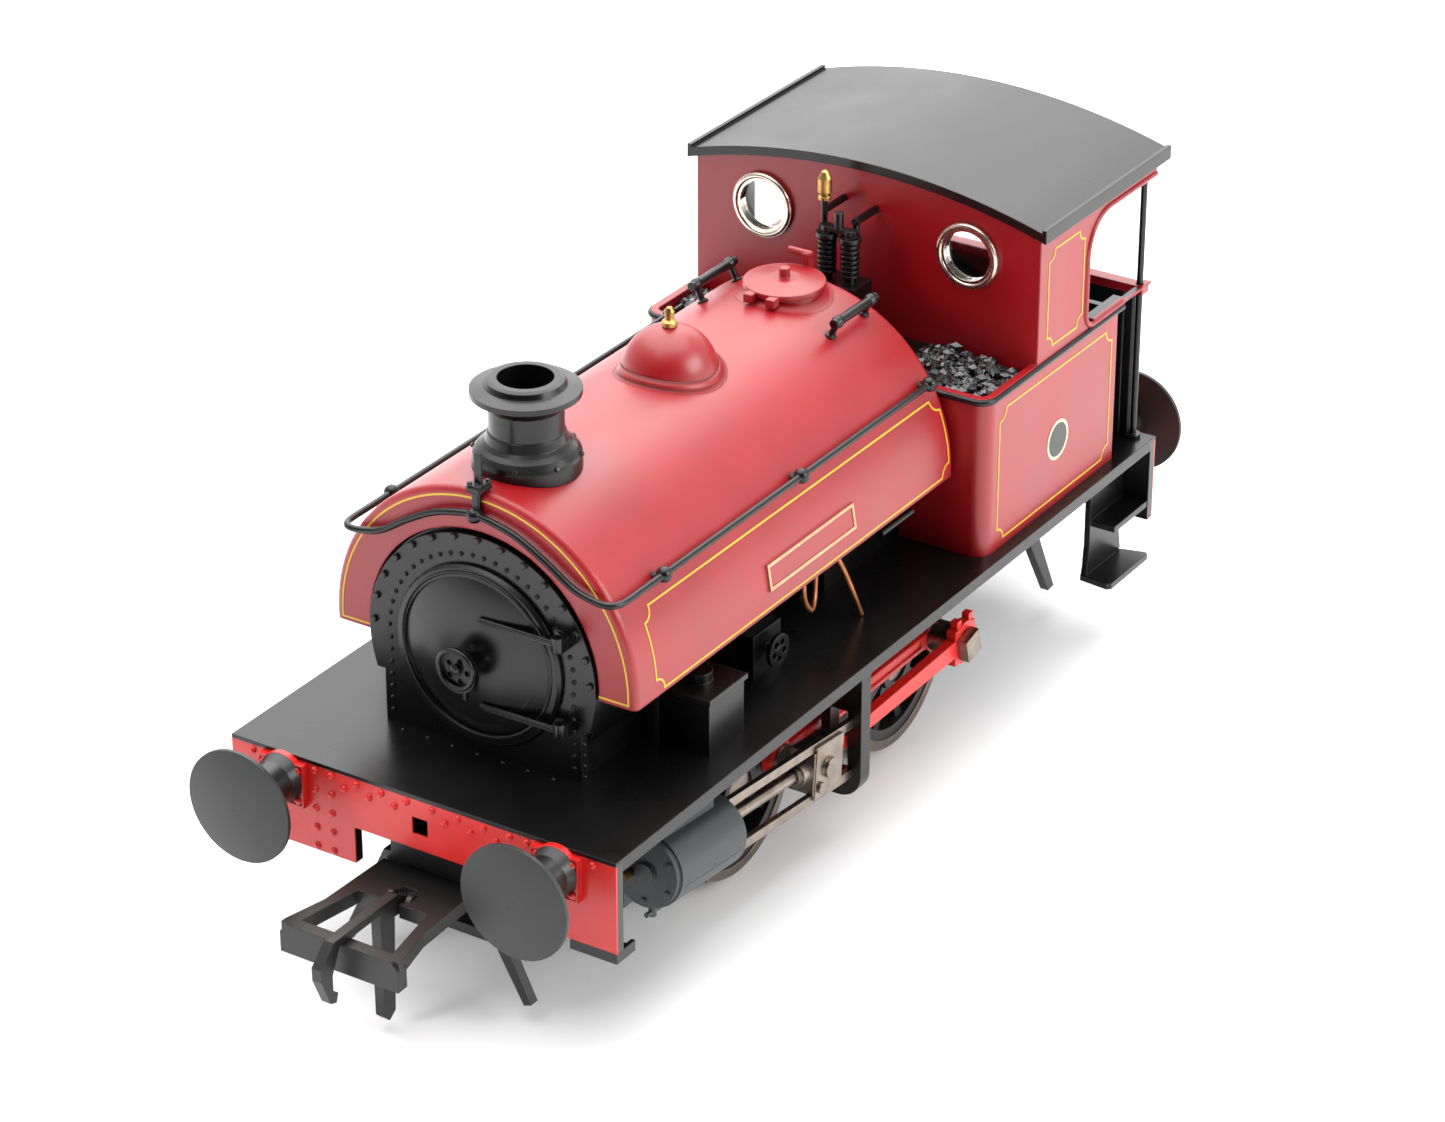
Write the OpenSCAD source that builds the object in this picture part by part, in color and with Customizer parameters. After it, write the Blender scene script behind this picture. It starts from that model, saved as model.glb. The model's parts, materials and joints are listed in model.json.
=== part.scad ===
// OO-gauge (1:76) four-wheeled saddle-tank locomotive.
// Origin: rail-top level, centre line, midway between the buffer beams.
// The front faces -Y, +X is the engine's left side, +Z is up.

/* [Track and wheels] */
// Tread diameter of the driving wheels
wheel_d = 14; // [13:0.25:14]
// Distance between the axles
wheelbase = 22; // [22:0.5:24]
// Distance between the backs of the two wheels of an axle
back_to_back = 14.5; // [14.3:0.1:14.6]
// Crank throw, half the piston stroke
crank_r = 4; // [3:0.25:4]
// Downward slope of the cylinders towards the rear
incline = 5.5; // [5:0.25:6]

/* [Running plate and buffers] */
// Width of the running plate
plate_w = 32; // [31:0.5:33]
// Length over the buffer beams
plate_l = 76; // [76:1:80]
// Height of the running plate above the rails
plate_z = 15.5; // [15.5:0.25:16.5]
// Distance between the buffer centres
buffer_gap = 22.8; // [22:0.2:23.5]
// Height of the buffer centres above the rails
buffer_z = 13.7; // [13.2:0.1:13.8]
// Diameter of the buffer heads
head_d = 8.5; // [6:0.1:8.6]

/* [Tank and boiler] */
// Outer radius of the saddle tank
tank_r = 12.5; // [12.2:0.1:12.8]
// Length of the saddle tank
tank_l = 42.2; // [41:0.1:42.2]
// Height of the boiler centre line above the rails
boiler_z = 22.8; // [22.6:0.1:23.2]
// Height of the chimney top above the rails
chimney_top = 41.5; // [41:0.5:46]

/* [Cab] */
// Width over the cab side sheets
cab_w = 30; // [29.5:0.1:30]
// Height of the bunker top edge
bunker_z = 28.5; // [27.5:0.1:29]
// Height of the cab side sheets
eaves_z = 38.6; // [38:0.1:39]
// Rise of the roof from its edge to its crown
roof_rise = 2.3; // [2:0.1:2.6]

/* [Hidden] */
$fn = 48;

crimson = [0.62, 0.09, 0.13];
signal_red = [0.80, 0.17, 0.13];
satin_black = [0.07, 0.07, 0.08];
steel = [0.62, 0.60, 0.58];
dark_steel = [0.30, 0.27, 0.25];
brass = [0.72, 0.55, 0.28];
copper = [0.72, 0.42, 0.25];

half_w = plate_w / 2;
half_l = plate_l / 2;
run_gap = 0.05;            // radial clearance of a running fit
axle_z = wheel_d / 2;
axle_mid_y = -2.2;
front_y = axle_mid_y - wheelbase / 2;
rear_y = axle_mid_y + wheelbase / 2;
axle_r = 1.5;
pin_r = 0.75;

// Stations along the axle, outwards from the centre line
wheel_back = back_to_back / 2;
wheel_face = wheel_back + 2.65;
rod_in = wheel_face + 0.25;
rod_out = rod_in + 0.8;
motion_x = 13.1;           // plane of the connecting rods, crossheads and cylinders
conn_t = 0.8;
stroke_lift = 1.2;         // the stroke line passes this far above the front axle
small_end_y = 1.16;        // small end behind the slipper bolt, along the stroke line

// The rod is as long as the mean distance between its ends, and its big end has the play that is left
rod_run = wheelbase * cos(incline) - small_end_y;
rod_rise = wheelbase * sin(incline) - stroke_lift + crank_r;
rod_len = (norm([rod_run, rod_rise]) + rod_run) / 2;
big_end_play = (norm([rod_run, rod_rise]) - rod_run) / 2 + run_gap;

// Rest crank angles, measured from +Y towards +Z
crank_left = 14;
crank_right = 104;

beam_t = 0.8;
beam_bottom = plate_z - 7.05;
notch_hw = 5.6;
notch_top = plate_z - 4.2;
lip_t = 0.3;
sheet_t = 0.6;
plate_bottom = plate_z - sheet_t;
edge_t = 0.95;
edge_w = 0.8;

chassis_hw = 5.5;
chassis_bottom = 3.5;
chassis_top = 14.6;
worm_r = 1.3;
gear_module = 0.4;
gear_teeth = 15;
gear_pitch_r = gear_module * gear_teeth / 2;
worm_z = axle_z + gear_pitch_r + worm_r;
worm_pitch = PI * gear_module;

tank_front = -30.2;
tank_rear = tank_front + tank_l;
tank_in_r = tank_r - 3;
tank_skirt = 0.65;         // straight part of the tank below its centre
smokebox_y = -30.45;
smokebox_z = 22.6;
smokebox_r = 9.38;
chimney_y = -24.5;
dome_y = -6.9;
lid_y = 8.4;
rail_x = 11.3;
rail_z = 29.9;
rail_r = 0.25;
rail_front_y = -30.75;
grab_x = 6.1;
grab_z = 35.3;

cab_hw = cab_w / 2;
cab_front = 19.85;
bunker_front = 12.45;
bunker_rear = 32.55;
cab_skin = 0.6;
corner_r = 1.2;
roof_hw = cab_hw + 0.62;
roof_front = 19.4;
roof_rear = 39.0;
roof_t = 0.7;
roof_r = (roof_hw * roof_hw + roof_rise * roof_rise) / (2 * roof_rise);
roof_c = eaves_z + roof_t + roof_rise - roof_r;
window_x = 8.95;
window_z = 36.05;
window_r = 2.15;
pillar_x = 14.5;
pillar_y = 37;

screw_front_y = -26;
screw_rear_y = 22;
plinth_front_y = -20.8;
plinth_rear_y = 17.5;

bar_in = 1.7;              // slide bar faces from the stroke line
bar_out = 2.4;
bar_x = motion_x + 0.55;   // the bars stand outside the connecting rods
bar_w = 0.45;
piston_r = 0.48;
cyl_r = 2.75;
cyl_front = -17.2;         // along the stroke line, from the front axle
cyl_rear = -8.3;
bracket_y = -4.55;
hook_y = half_l + 2.3;
hook_z = 8.5;
bar_y = half_l + 9.5;      // front face of the coupling bar
bunker_in = 7.7;
firebox_hw = 7.6;
firebox_top = 28.2;
firebox_end = screw_rear_y - 2.45;

// ---------- Helpers ----------

module box(lo, hi) translate(lo) cube(hi - lo);
module both_sides() { children(); mirror([1, 0, 0]) children(); }
module both_ends() { children(); mirror([0, 1, 0]) children(); }
// A shape drawn around +Z, laid along +Y or +X
module along_y(p) translate(p) rotate([-90, 0, 0]) children();
module along_x(p) translate(p) rotate([0, 90, 0]) children();
// An outline in Y and Z, extruded between two X stations
module slab_x(x0, x1) translate([x0, 0, 0]) rotate([90, 0, 90]) linear_extrude(x1 - x0) children();
// An outline in X and Z, extruded between two Y stations
module slab_y(y0, y1) translate([0, y1, 0]) rotate([90, 0, 0]) linear_extrude(y1 - y0) children();
// The stroke line of a cylinder: +Y runs down it, from above the front axle
module on_stroke_line(along = 0)
    translate([0, front_y, axle_z]) rotate([-incline, 0, 0]) translate([0, along, stroke_lift]) children();
module tank_cylinder(r, y0, y1) along_y([0, y0, boiler_z]) cylinder(r = r, h = y1 - y0, $fn = 96);

function small_end_at(crank) = crank_r * cos(crank + incline) + small_end_y;

// ---------- Running plate, beams and buffers ----------

module running_plate() color(satin_black) difference() {
    union() {
        box([-half_w, beam_t - half_l, plate_bottom], [half_w, half_l - beam_t, plate_z]);
        box([-half_w, -half_l, plate_z - lip_t], [half_w, half_l, plate_z]);
        both_sides() box([half_w - edge_w, beam_t - half_l, plate_z - edge_t],
            [half_w, half_l - beam_t, plate_z - 0.1]);
        for (y = [screw_front_y, screw_rear_y])
            translate([0, y, plate_z - 0.1]) cylinder(r = 2.4, h = 3.1);
    }
    box([-6.2, -23, plate_bottom - 1], [6.2, 13, plate_z + 1]);
    for (y = [screw_front_y, screw_rear_y])
        translate([0, y, plate_bottom - 1]) cylinder(r = 0.9 + run_gap, h = 3.5);
}

module buffer_beam() difference() {
    box([-half_w, -half_l, beam_bottom], [half_w, beam_t - half_l, plate_z - lip_t]);
    box([-notch_hw, -half_l - 1, beam_bottom - 1], [notch_hw, beam_t - half_l + 1, notch_top]);
    box([-0.65, -half_l - 1, 12.5], [0.65, beam_t - half_l + 1, 13.8]);
    both_sides() along_y([buffer_gap / 2, -half_l - 1, buffer_z]) cylinder(r = 0.6, h = 3);
}

module buffer_beams() color(signal_red) both_ends() buffer_beam();

module buffer_housing() {
    difference() {
        union() {
            along_y([0, -half_l - 0.5, 0]) cylinder(r = 1.9, h = 0.5);
            translate([-1.9, -half_l - 0.5, -1.9]) cube([3.8, 0.5, 3.3]);
            along_y([0, -half_l - 3.3, 0]) rotate_extrude()
                polygon([[0, 0], [1.35, 0], [1.5, 0.3], [1.6, 2], [1.9, 2.9], [0, 2.9]]);
        }
        along_y([0, -half_l - 4, 0]) cylinder(r = 1, h = 3.4);
        along_y([0, -half_l - 1, 0]) cylinder(r = 0.6, h = 3);
    }
}

module buffer_housings() color(satin_black)
    both_ends() both_sides() translate([buffer_gap / 2, 0, buffer_z]) buffer_housing();

module buffer_spring() along_y([0, -half_l - 2.25, 0])
    linear_extrude(height = 1.55, twist = 1080, slices = 42, $fn = 6)
        translate([0.78, 0]) circle(r = 0.14, $fn = 6);

module buffer_springs() color(steel)
    both_ends() both_sides() translate([buffer_gap / 2, 0, buffer_z]) buffer_spring();

// Domed head, thick shank in the housing, thin tail through spring and beam
module buffer_head() {
    head_r = head_d / 2;
    dome = [for (i = [0 : 8]) [head_r * i / 8, 0.5 * pow(i / 8, 2)]];
    along_y([0, -half_l - 5.75, 0]) rotate_extrude($fn = 96)
        polygon(concat(dome, [[head_r, 0.8], [1.6, 1.15], [0, 1.15]]));
    along_y([0, -half_l - 4.7, 0]) cylinder(r = 0.95, h = 2.35);
    along_y([0, -half_l - 2.4, 0]) cylinder(r = 0.5, h = 3.5);
    along_y([0, -half_l + 1.0, 0]) cylinder(r = 0.8, h = 0.4);
}

module placed_head(side, end) color(dark_steel)
    translate([side * buffer_gap / 2, 0, buffer_z]) mirror([0, end, 0]) buffer_head();

// ---------- Hook-and-bar couplings ----------

module coupling_frame() {
    translate([0, 0, 7.9]) linear_extrude(1.05) difference() {
        polygon([[-3.9, 0.9 - half_l], [3.9, 0.9 - half_l], [4.1, -43.5], [4.9, 0.6 - bar_y],
            [4.9, 0.2 - bar_y], [-4.9, 0.2 - bar_y], [-4.9, 0.6 - bar_y], [-4.1, -43.5]]);
        polygon([[-2.9, -41.4], [2.9, -41.4], [3.8, 1 - bar_y], [-3.8, 1 - bar_y]]);
        translate([-0.55, -42]) square([1.1, 2.7]);
    }
    slab_y(-bar_y, 1 - bar_y)
        polygon([[-4.9, 6.7], [4.9, 6.7], [4.9, 8.3], [4.4, 8.95], [-4.4, 8.95], [-4.9, 8.3]]);
    // Shank into the pocket under the running plate, and the pivot ears
    box([-2.4, -38.8, 7.4], [2.4, -30.1, 8.5]);
    both_sides() slab_x(0.6, 1) translate([-hook_y, hook_z]) circle(r = 0.65);
}

module coupling_frames() color(satin_black) both_ends() difference() {
    coupling_frame();
    along_x([-2, -hook_y, hook_z]) cylinder(r = 0.3 + run_gap, h = 4);
    box([-0.6, -hook_y - 0.8, 7], [0.6, -hook_y + 0.8, 10]);
}

module coupling_hook() {
    tip = half_l + 11.9;
    slab_x(-0.4, 0.4) polygon([
        [-hook_y, 8.05], [-hook_y, 9], [-hook_y - 1, 9.65], [-tip + 1.5, 9.6], [-tip, 8.2],
        [-tip, 7.2], [-tip + 0.9, 5.1], [-tip + 1.5, 4.9], [-tip + 1.7, 5.6], [-tip + 1.2, 5.8],
        [-tip + 1.2, 7.2], [-tip + 2.1, 9.02], [-hook_y - 3, 9.02], [-hook_y - 2.9, 0.8],
        [-hook_y - 2.4, 0.3], [-hook_y - 1.7, 0.8], [-hook_y - 1.4, 8.1]]);
    slab_x(-0.4, 0.4) translate([-hook_y, hook_z]) circle(r = 0.5);
    along_x([-1.2, -hook_y, hook_z]) cylinder(r = 0.3, h = 2.4);
}

// ---------- Saddle tank, smokebox, boiler ----------

// Half section of the tank: radius against length, with rounded outer corners
module tank_section() {
    round_r = 0.5;
    difference() {
        translate([tank_in_r, tank_front]) square([tank_r - tank_in_r, tank_l]);
        translate([tank_r - round_r, tank_front]) difference() {
            translate([0, -1]) square([2, round_r + 1]);
            translate([0, round_r]) circle(r = round_r);
        }
        translate([tank_r - 0.4, tank_rear - 0.4]) difference() {
            square(1);
            circle(r = 0.4);
        }
    }
}

module tank_shell() {
    translate([0, 0, boiler_z]) rotate([-90, 0, 0]) rotate([0, 0, 180])
        rotate_extrude(angle = 180, $fn = 128) tank_section();
    both_sides() translate([0, 0, boiler_z - tank_skirt]) linear_extrude(tank_skirt) tank_section();
}

// Half-round dome on a short wall
module tank_dome() translate([0, dome_y, 0]) {
    translate([0, 0, 34.95]) sphere(r = 3.5, $fn = 96);
    translate([0, 0, 32.6]) cylinder(r = 3.52, h = 2.3, $fn = 96);
}

module name_plate() rotate([0, -9.1, 0]) translate([tank_r - 0.6, 0, 0])
    box([0, -13.5, -1], [0.7, -2, 1]);

module saddle_tank() color(crimson) union() {
    tank_shell();
    tank_dome();
    translate([0, lid_y, boiler_z + 11]) cylinder(r = 2.75, h = 2, $fn = 64);
    translate([0, 0, boiler_z]) both_sides() name_plate();
}

module filler_lid() color(crimson) {
    top = boiler_z + 13;
    translate([0, lid_y, top]) cylinder(r = 3.05, h = 0.4, $fn = 64);
    translate([0, lid_y, top + 0.4]) cylinder(r1 = 2.9, r2 = 1.1, h = 0.3, $fn = 64);
    translate([0, lid_y, top + 0.4]) cylinder(r = 0.4, h = 1);
    // Hinge lugs in front, swing clamp behind
    for (x = [-1.3, 0.6]) box([x, lid_y - 3.6, top - 0.3], [x + 0.7, lid_y - 2.85, top + 0.35]);
    box([-0.3, lid_y + 2.85, top - 0.3], [0.3, lid_y + 3.6, top + 1.4]);
    along_x([-1.6, lid_y + 3.2, top + 1.3]) cylinder(r = 0.26, h = 2);
}

module brass_fittings() color(brass) {
    translate([0, dome_y, 38.46]) rotate_extrude()
        polygon([[0, 0], [0.55, 0], [0.55, 0.35], [0.32, 0.5], [0.38, 1.1], [0.2, 1.4], [0, 1.4]]);
    translate([-1.87, 17, 39.1]) rotate_extrude()
        polygon([[0, 0], [0.5, 0], [0.5, 0.25], [0.3, 0.4], [0.55, 0.6], [0.55, 1.7], [0.25, 2.2],
            [0, 2.35]]);
    both_sides() on_stroke_line(cyl_front - 1.1) translate([motion_x - 1.2, 0, -0.35]) {
        along_y([0, 0, 0]) cylinder(r = 0.32, h = 1.1);
        along_y([0, -0.5, 0]) cylinder(r = 0.45, h = 0.5, $fn = 6);
    }
}

module safety_valves() color(satin_black) {
    // Turret on the firebox
    box([-2.3, 14.8, firebox_top + 0.02], [2.1, 17.4, 33.4]);
    for (x = [-1, 1]) translate([x, 16, 33.4]) {
        cylinder(r = 0.45, h = 4.2);
        for (i = [0 : 6]) translate([0, 0, 0.5 + 0.4 * i]) cylinder(r = 0.72, h = 0.22);
        translate([0, 0, 3.3]) cylinder(r = 0.85, h = 0.35);
    }
    box([-1.6, 15.7, 37.2], [1.6, 16.3, 37.6]);
    translate([0, 16, 37.5]) cylinder(r = 0.35, h = 1.3);
    // Whistle stem and the two steam pipes from the cab front
    translate([-1.87, 17, 33.3]) cylinder(r = 0.25, h = 5.8);
    along_y([-1.87, 17, 38.2]) cylinder(r = 0.28, h = cab_front - 17.02);
    translate([0.9, 17, 33.3]) cylinder(r = 0.25, h = 4.6);
    along_y([0.9, 16.8, 37.9]) cylinder(r = 0.3, h = cab_front - 16.82);
}

// A bent rod: straight runs through the given points, with ball-shaped elbows
module pipe(points, r) for (i = [0 : len(points) - 2]) {
    d = points[i + 1] - points[i];
    translate(points[i]) rotate([0, acos(d.z / norm(d)), atan2(d.y, d.x)]) {
        cylinder(r = r, h = norm(d), $fn = 24);
        if (i > 0) sphere(r = r + 0.04, $fn = 24);
    }
}

// A knob on the tank's side: ball on the rail, stem down to the tank
module knob(x, y, z, ball_r, stem_r) translate([x, y, z]) {
    along_y([0, 0, 0]) sphere(r = ball_r);
    rotate([0, atan2(x, z - boiler_z), 0]) translate([0, 0, tank_r + 0.02 - norm([x, z - boiler_z])])
        cylinder(r = stem_r, h = norm([x, z - boiler_z]) - tank_r - 0.02);
}

module handrails() color(satin_black) {
    y = rail_front_y;
    along_x([-1.2, y, 33.65]) cylinder(r = rail_r, h = 2.4, $fn = 24);
    both_sides() {
        along_x([1.2, y, 33.65]) sphere(r = rail_r + 0.04, $fn = 24);
        pipe([[1.2, y, 33.65], [3.3, y, 33.1], [5.6, y, 31.9], [7.8, y, 30.5], [9.4, y, 30.05],
            [10.9, y, 30], [rail_x, -29.6, rail_z], [rail_x, 12, rail_z]], rail_r);
        for (y = [-24.9, -7.4, 10.3]) knob(rail_x, y, rail_z, 0.5, 0.24);
        // Grab handles beside the filler
        along_y([grab_x, 5.5, grab_z]) cylinder(r = 0.36, h = 5.4);
        for (y = [5.9, 10.5]) knob(grab_x, y, grab_z, 0.5, 0.25);
    }
    // Centre knob and lamp bracket on the tank front
    along_x([0, y, 33.65]) sphere(r = 0.5);
    along_y([0, y, 33.65]) cylinder(r = 0.22, h = tank_front - y - 0.02);
    box([-0.65, -30.9, boiler_z + tank_r + 0.02], [0.65, -29.4, boiler_z + tank_r + 0.65]);
    box([-0.3, -30.3, boiler_z + tank_r + 0.3], [0.3, -30, boiler_z + tank_r + 2.8]);
    box([-0.3, -30.65, 34], [0.3, tank_front - 0.02, boiler_z + tank_r + 0.3]);
}

// An arch in X and Z: a circle on two straight legs down to the running plate
module arch_outline(r, leg, z = boiler_z) union() {
    translate([0, z]) circle(r = r, $fn = 96);
    translate([-leg, plate_z]) square([2 * leg, z - plate_z]);
}

module smokebox() color(satin_black) {
    slab_y(smokebox_y, smokebox_y + 0.7) difference() {
        arch_outline(smokebox_r, 8.2, smokebox_z);
        // The circle stops at a step above the legs
        for (s = [0, 1]) mirror([s, 0]) translate([8.2, plate_z - 1]) square([3, 5]);
        translate([-12, plate_z - 12]) square([24, 12]);
    }
    slab_y(smokebox_y + 0.7, -20.5) difference() {
        intersection() {
            arch_outline(smokebox_r, 7.9);
            translate([-10, plate_z]) square([20, 20]);
        }
        translate([0, boiler_z]) circle(r = 7.4, $fn = 96);
        translate([-6.4, plate_z - 1]) square([12.8, boiler_z - plate_z + 1]);
    }
}

module smokebox_door() color(satin_black) {
    z = smokebox_z + 0.4;
    along_y([0, smokebox_y - 1.25, z]) rotate_extrude($fn = 96)
        polygon([[0, 0], [1.65, 0.05], [3.3, 0.22], [4.85, 0.5], [5.9, 0.85], [6, 0.65], [6.6, 0.75],
            [6.8, 1.0], [6.8, 1.23], [0, 1.23]]);
    // Hinge straps and their blocks on the left-hand side
    for (dz = [-3.3, 3.3]) {
        box([0.9, smokebox_y - 1.25, z + dz - 0.16], [7.1, smokebox_y - 0.85, z + dz + 0.16]);
        box([6.9, smokebox_y - 1.35, z + dz - 0.45], [7.6, smokebox_y - 0.02, z + dz + 0.45]);
    }
    along_y([0, -33.4, z]) {
        cylinder(r = 0.35, h = 2);
        difference() {
            cylinder(r = 1.6, h = 0.5);
            translate([0, 0, -0.2]) cylinder(r = 1.25, h = 0.4);
            for (i = [0 : 4]) rotate(72 * i) translate([0.8, 0, -1]) cylinder(r = 0.22, h = 3);
        }
    }
    box([-0.14, -32.5, z - 2.6], [0.14, -32.2, z]);
}

module chimney() color(satin_black) translate([0, chimney_y, 0]) difference() {
    rotate_extrude($fn = 96) polygon([
        [0, 32], [3.8, 32], [3.8, 35.85], [3.72, 36.15], [3.45, 36.48], [3.1, 36.75], [2.85, 37], [2.7, 37.6],
        [2.6, 37.7], [2.6, 39.4], [2.85, 39.8], [3.5, 40.2], [3.85, 40.35], [3.85, 40.75], [2.85, 41],
        [2.7, chimney_top - 0.1], [2.4, chimney_top], [0, chimney_top]]);
    translate([0, 0, 36.5]) cylinder(r = 1.95, h = 10, $fn = 64);
    translate([0, -chimney_y, 0]) tank_cylinder(tank_r + 0.02, -32, -18);
}

module boiler() color(satin_black) difference() {
    union() {
        tank_cylinder(8.6, -20.4, 12.1);
        box([-firebox_hw, 2, plate_z], [firebox_hw, firebox_end, boiler_z]);
        // Flat-topped firebox behind the tank
        box([-firebox_hw, 11.5, plate_z], [firebox_hw, firebox_end, firebox_top]);
    }
    tank_cylinder(6.6, -21, 11.4);
    box([-6.2, -21, plate_z - 3], [6.2, 18.8, boiler_z]);
    box([-9, -21, 10], [9, cab_front, plate_z]);
}

module sandbox() {
    box([9.5, -22.9, plate_z], [13.6, -18.5, plate_z + 4.1]);
    box([9.3, -23.1, plate_z + 4.1], [13.8, -18.3, plate_z + 4.5]);
    translate([11.3, -20.7, plate_z + 4.5]) cylinder(r = 1, h = 0.7);
}

// Boxed steam valve on the boiler side, with a spoked handwheel
module valve() {
    box([8.9, -12.2, plate_z], [10.4, -8.6, plate_z + 3.4]);
    along_x([10.4, -10.4, plate_z + 1.9]) cylinder(r = 0.3, h = 1.1);
    along_x([11.1, -10.4, plate_z + 1.9]) difference() {
        cylinder(r = 1.25, h = 0.35);
        for (i = [0 : 4]) rotate(72 * i) translate([0.66, 0, -1]) cylinder(r = 0.27, h = 3);
    }
    // Handle rail under the tank's rear end
    along_y([11.4, 3.5, 20.6]) cylinder(r = 0.25, h = 4.4);
    for (y = [3.7, 7.7]) along_x([8.7, y, 20.6]) cylinder(r = 0.2, h = 2.8);
    difference() {
        box([7.7, 3.2, 19.9], [8.9, 8.2, 21.3]);
        tank_cylinder(8.62, 1, 10);
    }
}

module sandboxes_and_valves() color(satin_black) both_sides() { sandbox(); valve(); }

module copper_pipes() color(copper) both_sides() {
    pipe([[11, -6.6, 22], [11, -6.4, 19.4], [11, -5.4, 18.2], [10.6, -4.2, 18.6], [10.2, -3.6, 20.4]], 0.22);
    pipe([[10.4, -1.8, 21.6], [11.2, -1.2, 19.6], [11.8, 0.2, plate_z + 0.1]], 0.22);
}

// ---------- Cab ----------

module side_outline() difference() {
    union() {
        translate([bunker_front, plate_z]) square([bunker_rear - bunker_front, bunker_z - plate_z]);
        translate([cab_front, bunker_z - 0.1]) square([38 - cab_front, eaves_z - bunker_z + 0.1]);
    }
    // Doorway: square body, quarter-round upper front corner and rounded sill corner
    translate([27.3 + 1.2, bunker_z + 0.05]) square([12, 8]);
    translate([27.3, bunker_z + 1.25]) square([12, 4.65]);
    translate([28.5, bunker_z + 1.25]) circle(r = 1.2);
    translate([30.5, bunker_z + 5.9]) circle(r = 3.2);
    translate([30.5, bunker_z + 5.8]) square([12, 3.3]);
}

module cab_side() intersection() {
    cab_side_walls();
    // The front corner of the bunker is rounded
    translate([0, 0, plate_z - 1]) linear_extrude(30) union() {
        translate([0, bunker_front + corner_r]) square([20, 40]);
        translate([0, bunker_front]) square([cab_hw - corner_r, 40]);
        translate([cab_hw - corner_r, bunker_front + corner_r]) circle(r = corner_r, $fn = 64);
    }
}

module cab_side_walls() {
    slab_x(cab_hw - cab_skin, cab_hw) side_outline();
    intersection() {
        translate([cab_hw - corner_r, bunker_front + corner_r, plate_z]) difference() {
            cylinder(r = corner_r, h = bunker_z - plate_z, $fn = 64);
            translate([0, 0, -1]) cylinder(r = corner_r - cab_skin, h = bunker_z, $fn = 64);
        }
        box([cab_hw - corner_r, bunker_front, 0], [cab_hw, bunker_front + corner_r, bunker_z]);
    }
    // Sill capping with its rounded rear end
    box([cab_hw - 0.9, 28.6, bunker_z - 0.2], [cab_hw + 0.05, 33.4, bunker_z + 0.45]);
    // Bunker: front, inner and rear walls
    box([bunker_in, bunker_front, plate_z], [cab_hw - 0.05, bunker_front + cab_skin, bunker_z]);
    box([bunker_in, bunker_front, plate_z], [bunker_in + cab_skin, bunker_rear, bunker_z - 0.6]);
    box([bunker_in, bunker_rear - cab_skin, plate_z], [cab_hw - 0.05, bunker_rear, bunker_z]);
}

module roof_cylinder(r) along_y([0, 0, roof_c]) cylinder(r = r, h = 60, $fn = 192);

module cab_front_sheet() intersection() {
    difference() {
        box([-cab_hw, cab_front, plate_z], [cab_hw, cab_front + cab_skin, eaves_z + 4]);
        both_sides() along_y([window_x, cab_front - 1, window_z]) cylinder(r = window_r, h = 3);
    }
    roof_cylinder(roof_r - roof_t - 0.02);
}

module cab_body() color(crimson) difference() {
    union() {
        both_sides() cab_side();
        cab_front_sheet();
        // Rear sheet and its top rail, which clasps the two pillars
        box([-13.4, pillar_y - 0.3, plate_z], [13.4, pillar_y + 0.2, bunker_z - 0.5]);
        box([-15, pillar_y - 0.55, bunker_z - 0.6], [15, pillar_y + 0.55, bunker_z + 0.1]);
        box([-10.1, 31, plate_z], [10.1, pillar_y, plate_z + 0.7]);
    }
    both_sides() translate([pillar_x, pillar_y, plate_z - 1]) cylinder(r = 0.26 + run_gap, h = 30);
    translate([0, screw_rear_y, plate_z - 1]) cylinder(r = 2.45, h = 4.05);
}

module cab_roof() color(satin_black) {
    intersection() {
        difference() {
            roof_cylinder(roof_r);
            translate([0, -1, 0]) roof_cylinder(roof_r - roof_t);
        }
        box([-roof_hw, roof_front, eaves_z - 1], [roof_hw, roof_rear, eaves_z + 8]);
    }
    both_sides() box([roof_hw - 0.35, roof_front, eaves_z + 0.3], [roof_hw, roof_rear, eaves_z + 1.05]);
}

module window_rims() color(steel) both_sides() along_y([window_x, cab_front - 0.35, window_z]) difference() {
    union() {
        cylinder(r = window_r + 0.45, h = 0.33);
        cylinder(r = window_r - 0.03, h = 0.9);
    }
    translate([0, 0, -1]) cylinder(r = window_r - 0.2, h = 3);
}

module window_glass() color([0.8, 0.9, 0.95, 0.4]) both_sides()
    along_y([window_x, cab_front + 0.1, window_z]) cylinder(r = window_r - 0.22, h = 0.25);

module coal_load() color([0.06, 0.06, 0.07]) both_sides() {
    lump = 0.7;
    box([bunker_in + 0.65, bunker_front + 0.65, 24.5], [13.75, cab_front - 0.05, bunker_z - 0.3]);
    for (i = [0 : 4]) for (j = [0 : 5]) translate([8.95 + 0.93 * i, 13.8 + 1.05 * j, bunker_z - 0.35])
        rotate([0, 0, 37 * (i + 3 * j)]) translate([-lump / 2, -lump / 2, 0])
            cube([lump, lump, 0.3 + 0.15 * ((i * 5 + j * 3) % 4)]);
}

module cab_pillars() color(dark_steel) both_sides() {
    translate([pillar_x, pillar_y, plate_z + 0.02]) cylinder(r = 0.26, h = eaves_z - plate_z - 1);
    translate([pillar_x, pillar_y, plate_z + 0.02]) cylinder(r = 0.6, h = 0.3);
}

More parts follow.
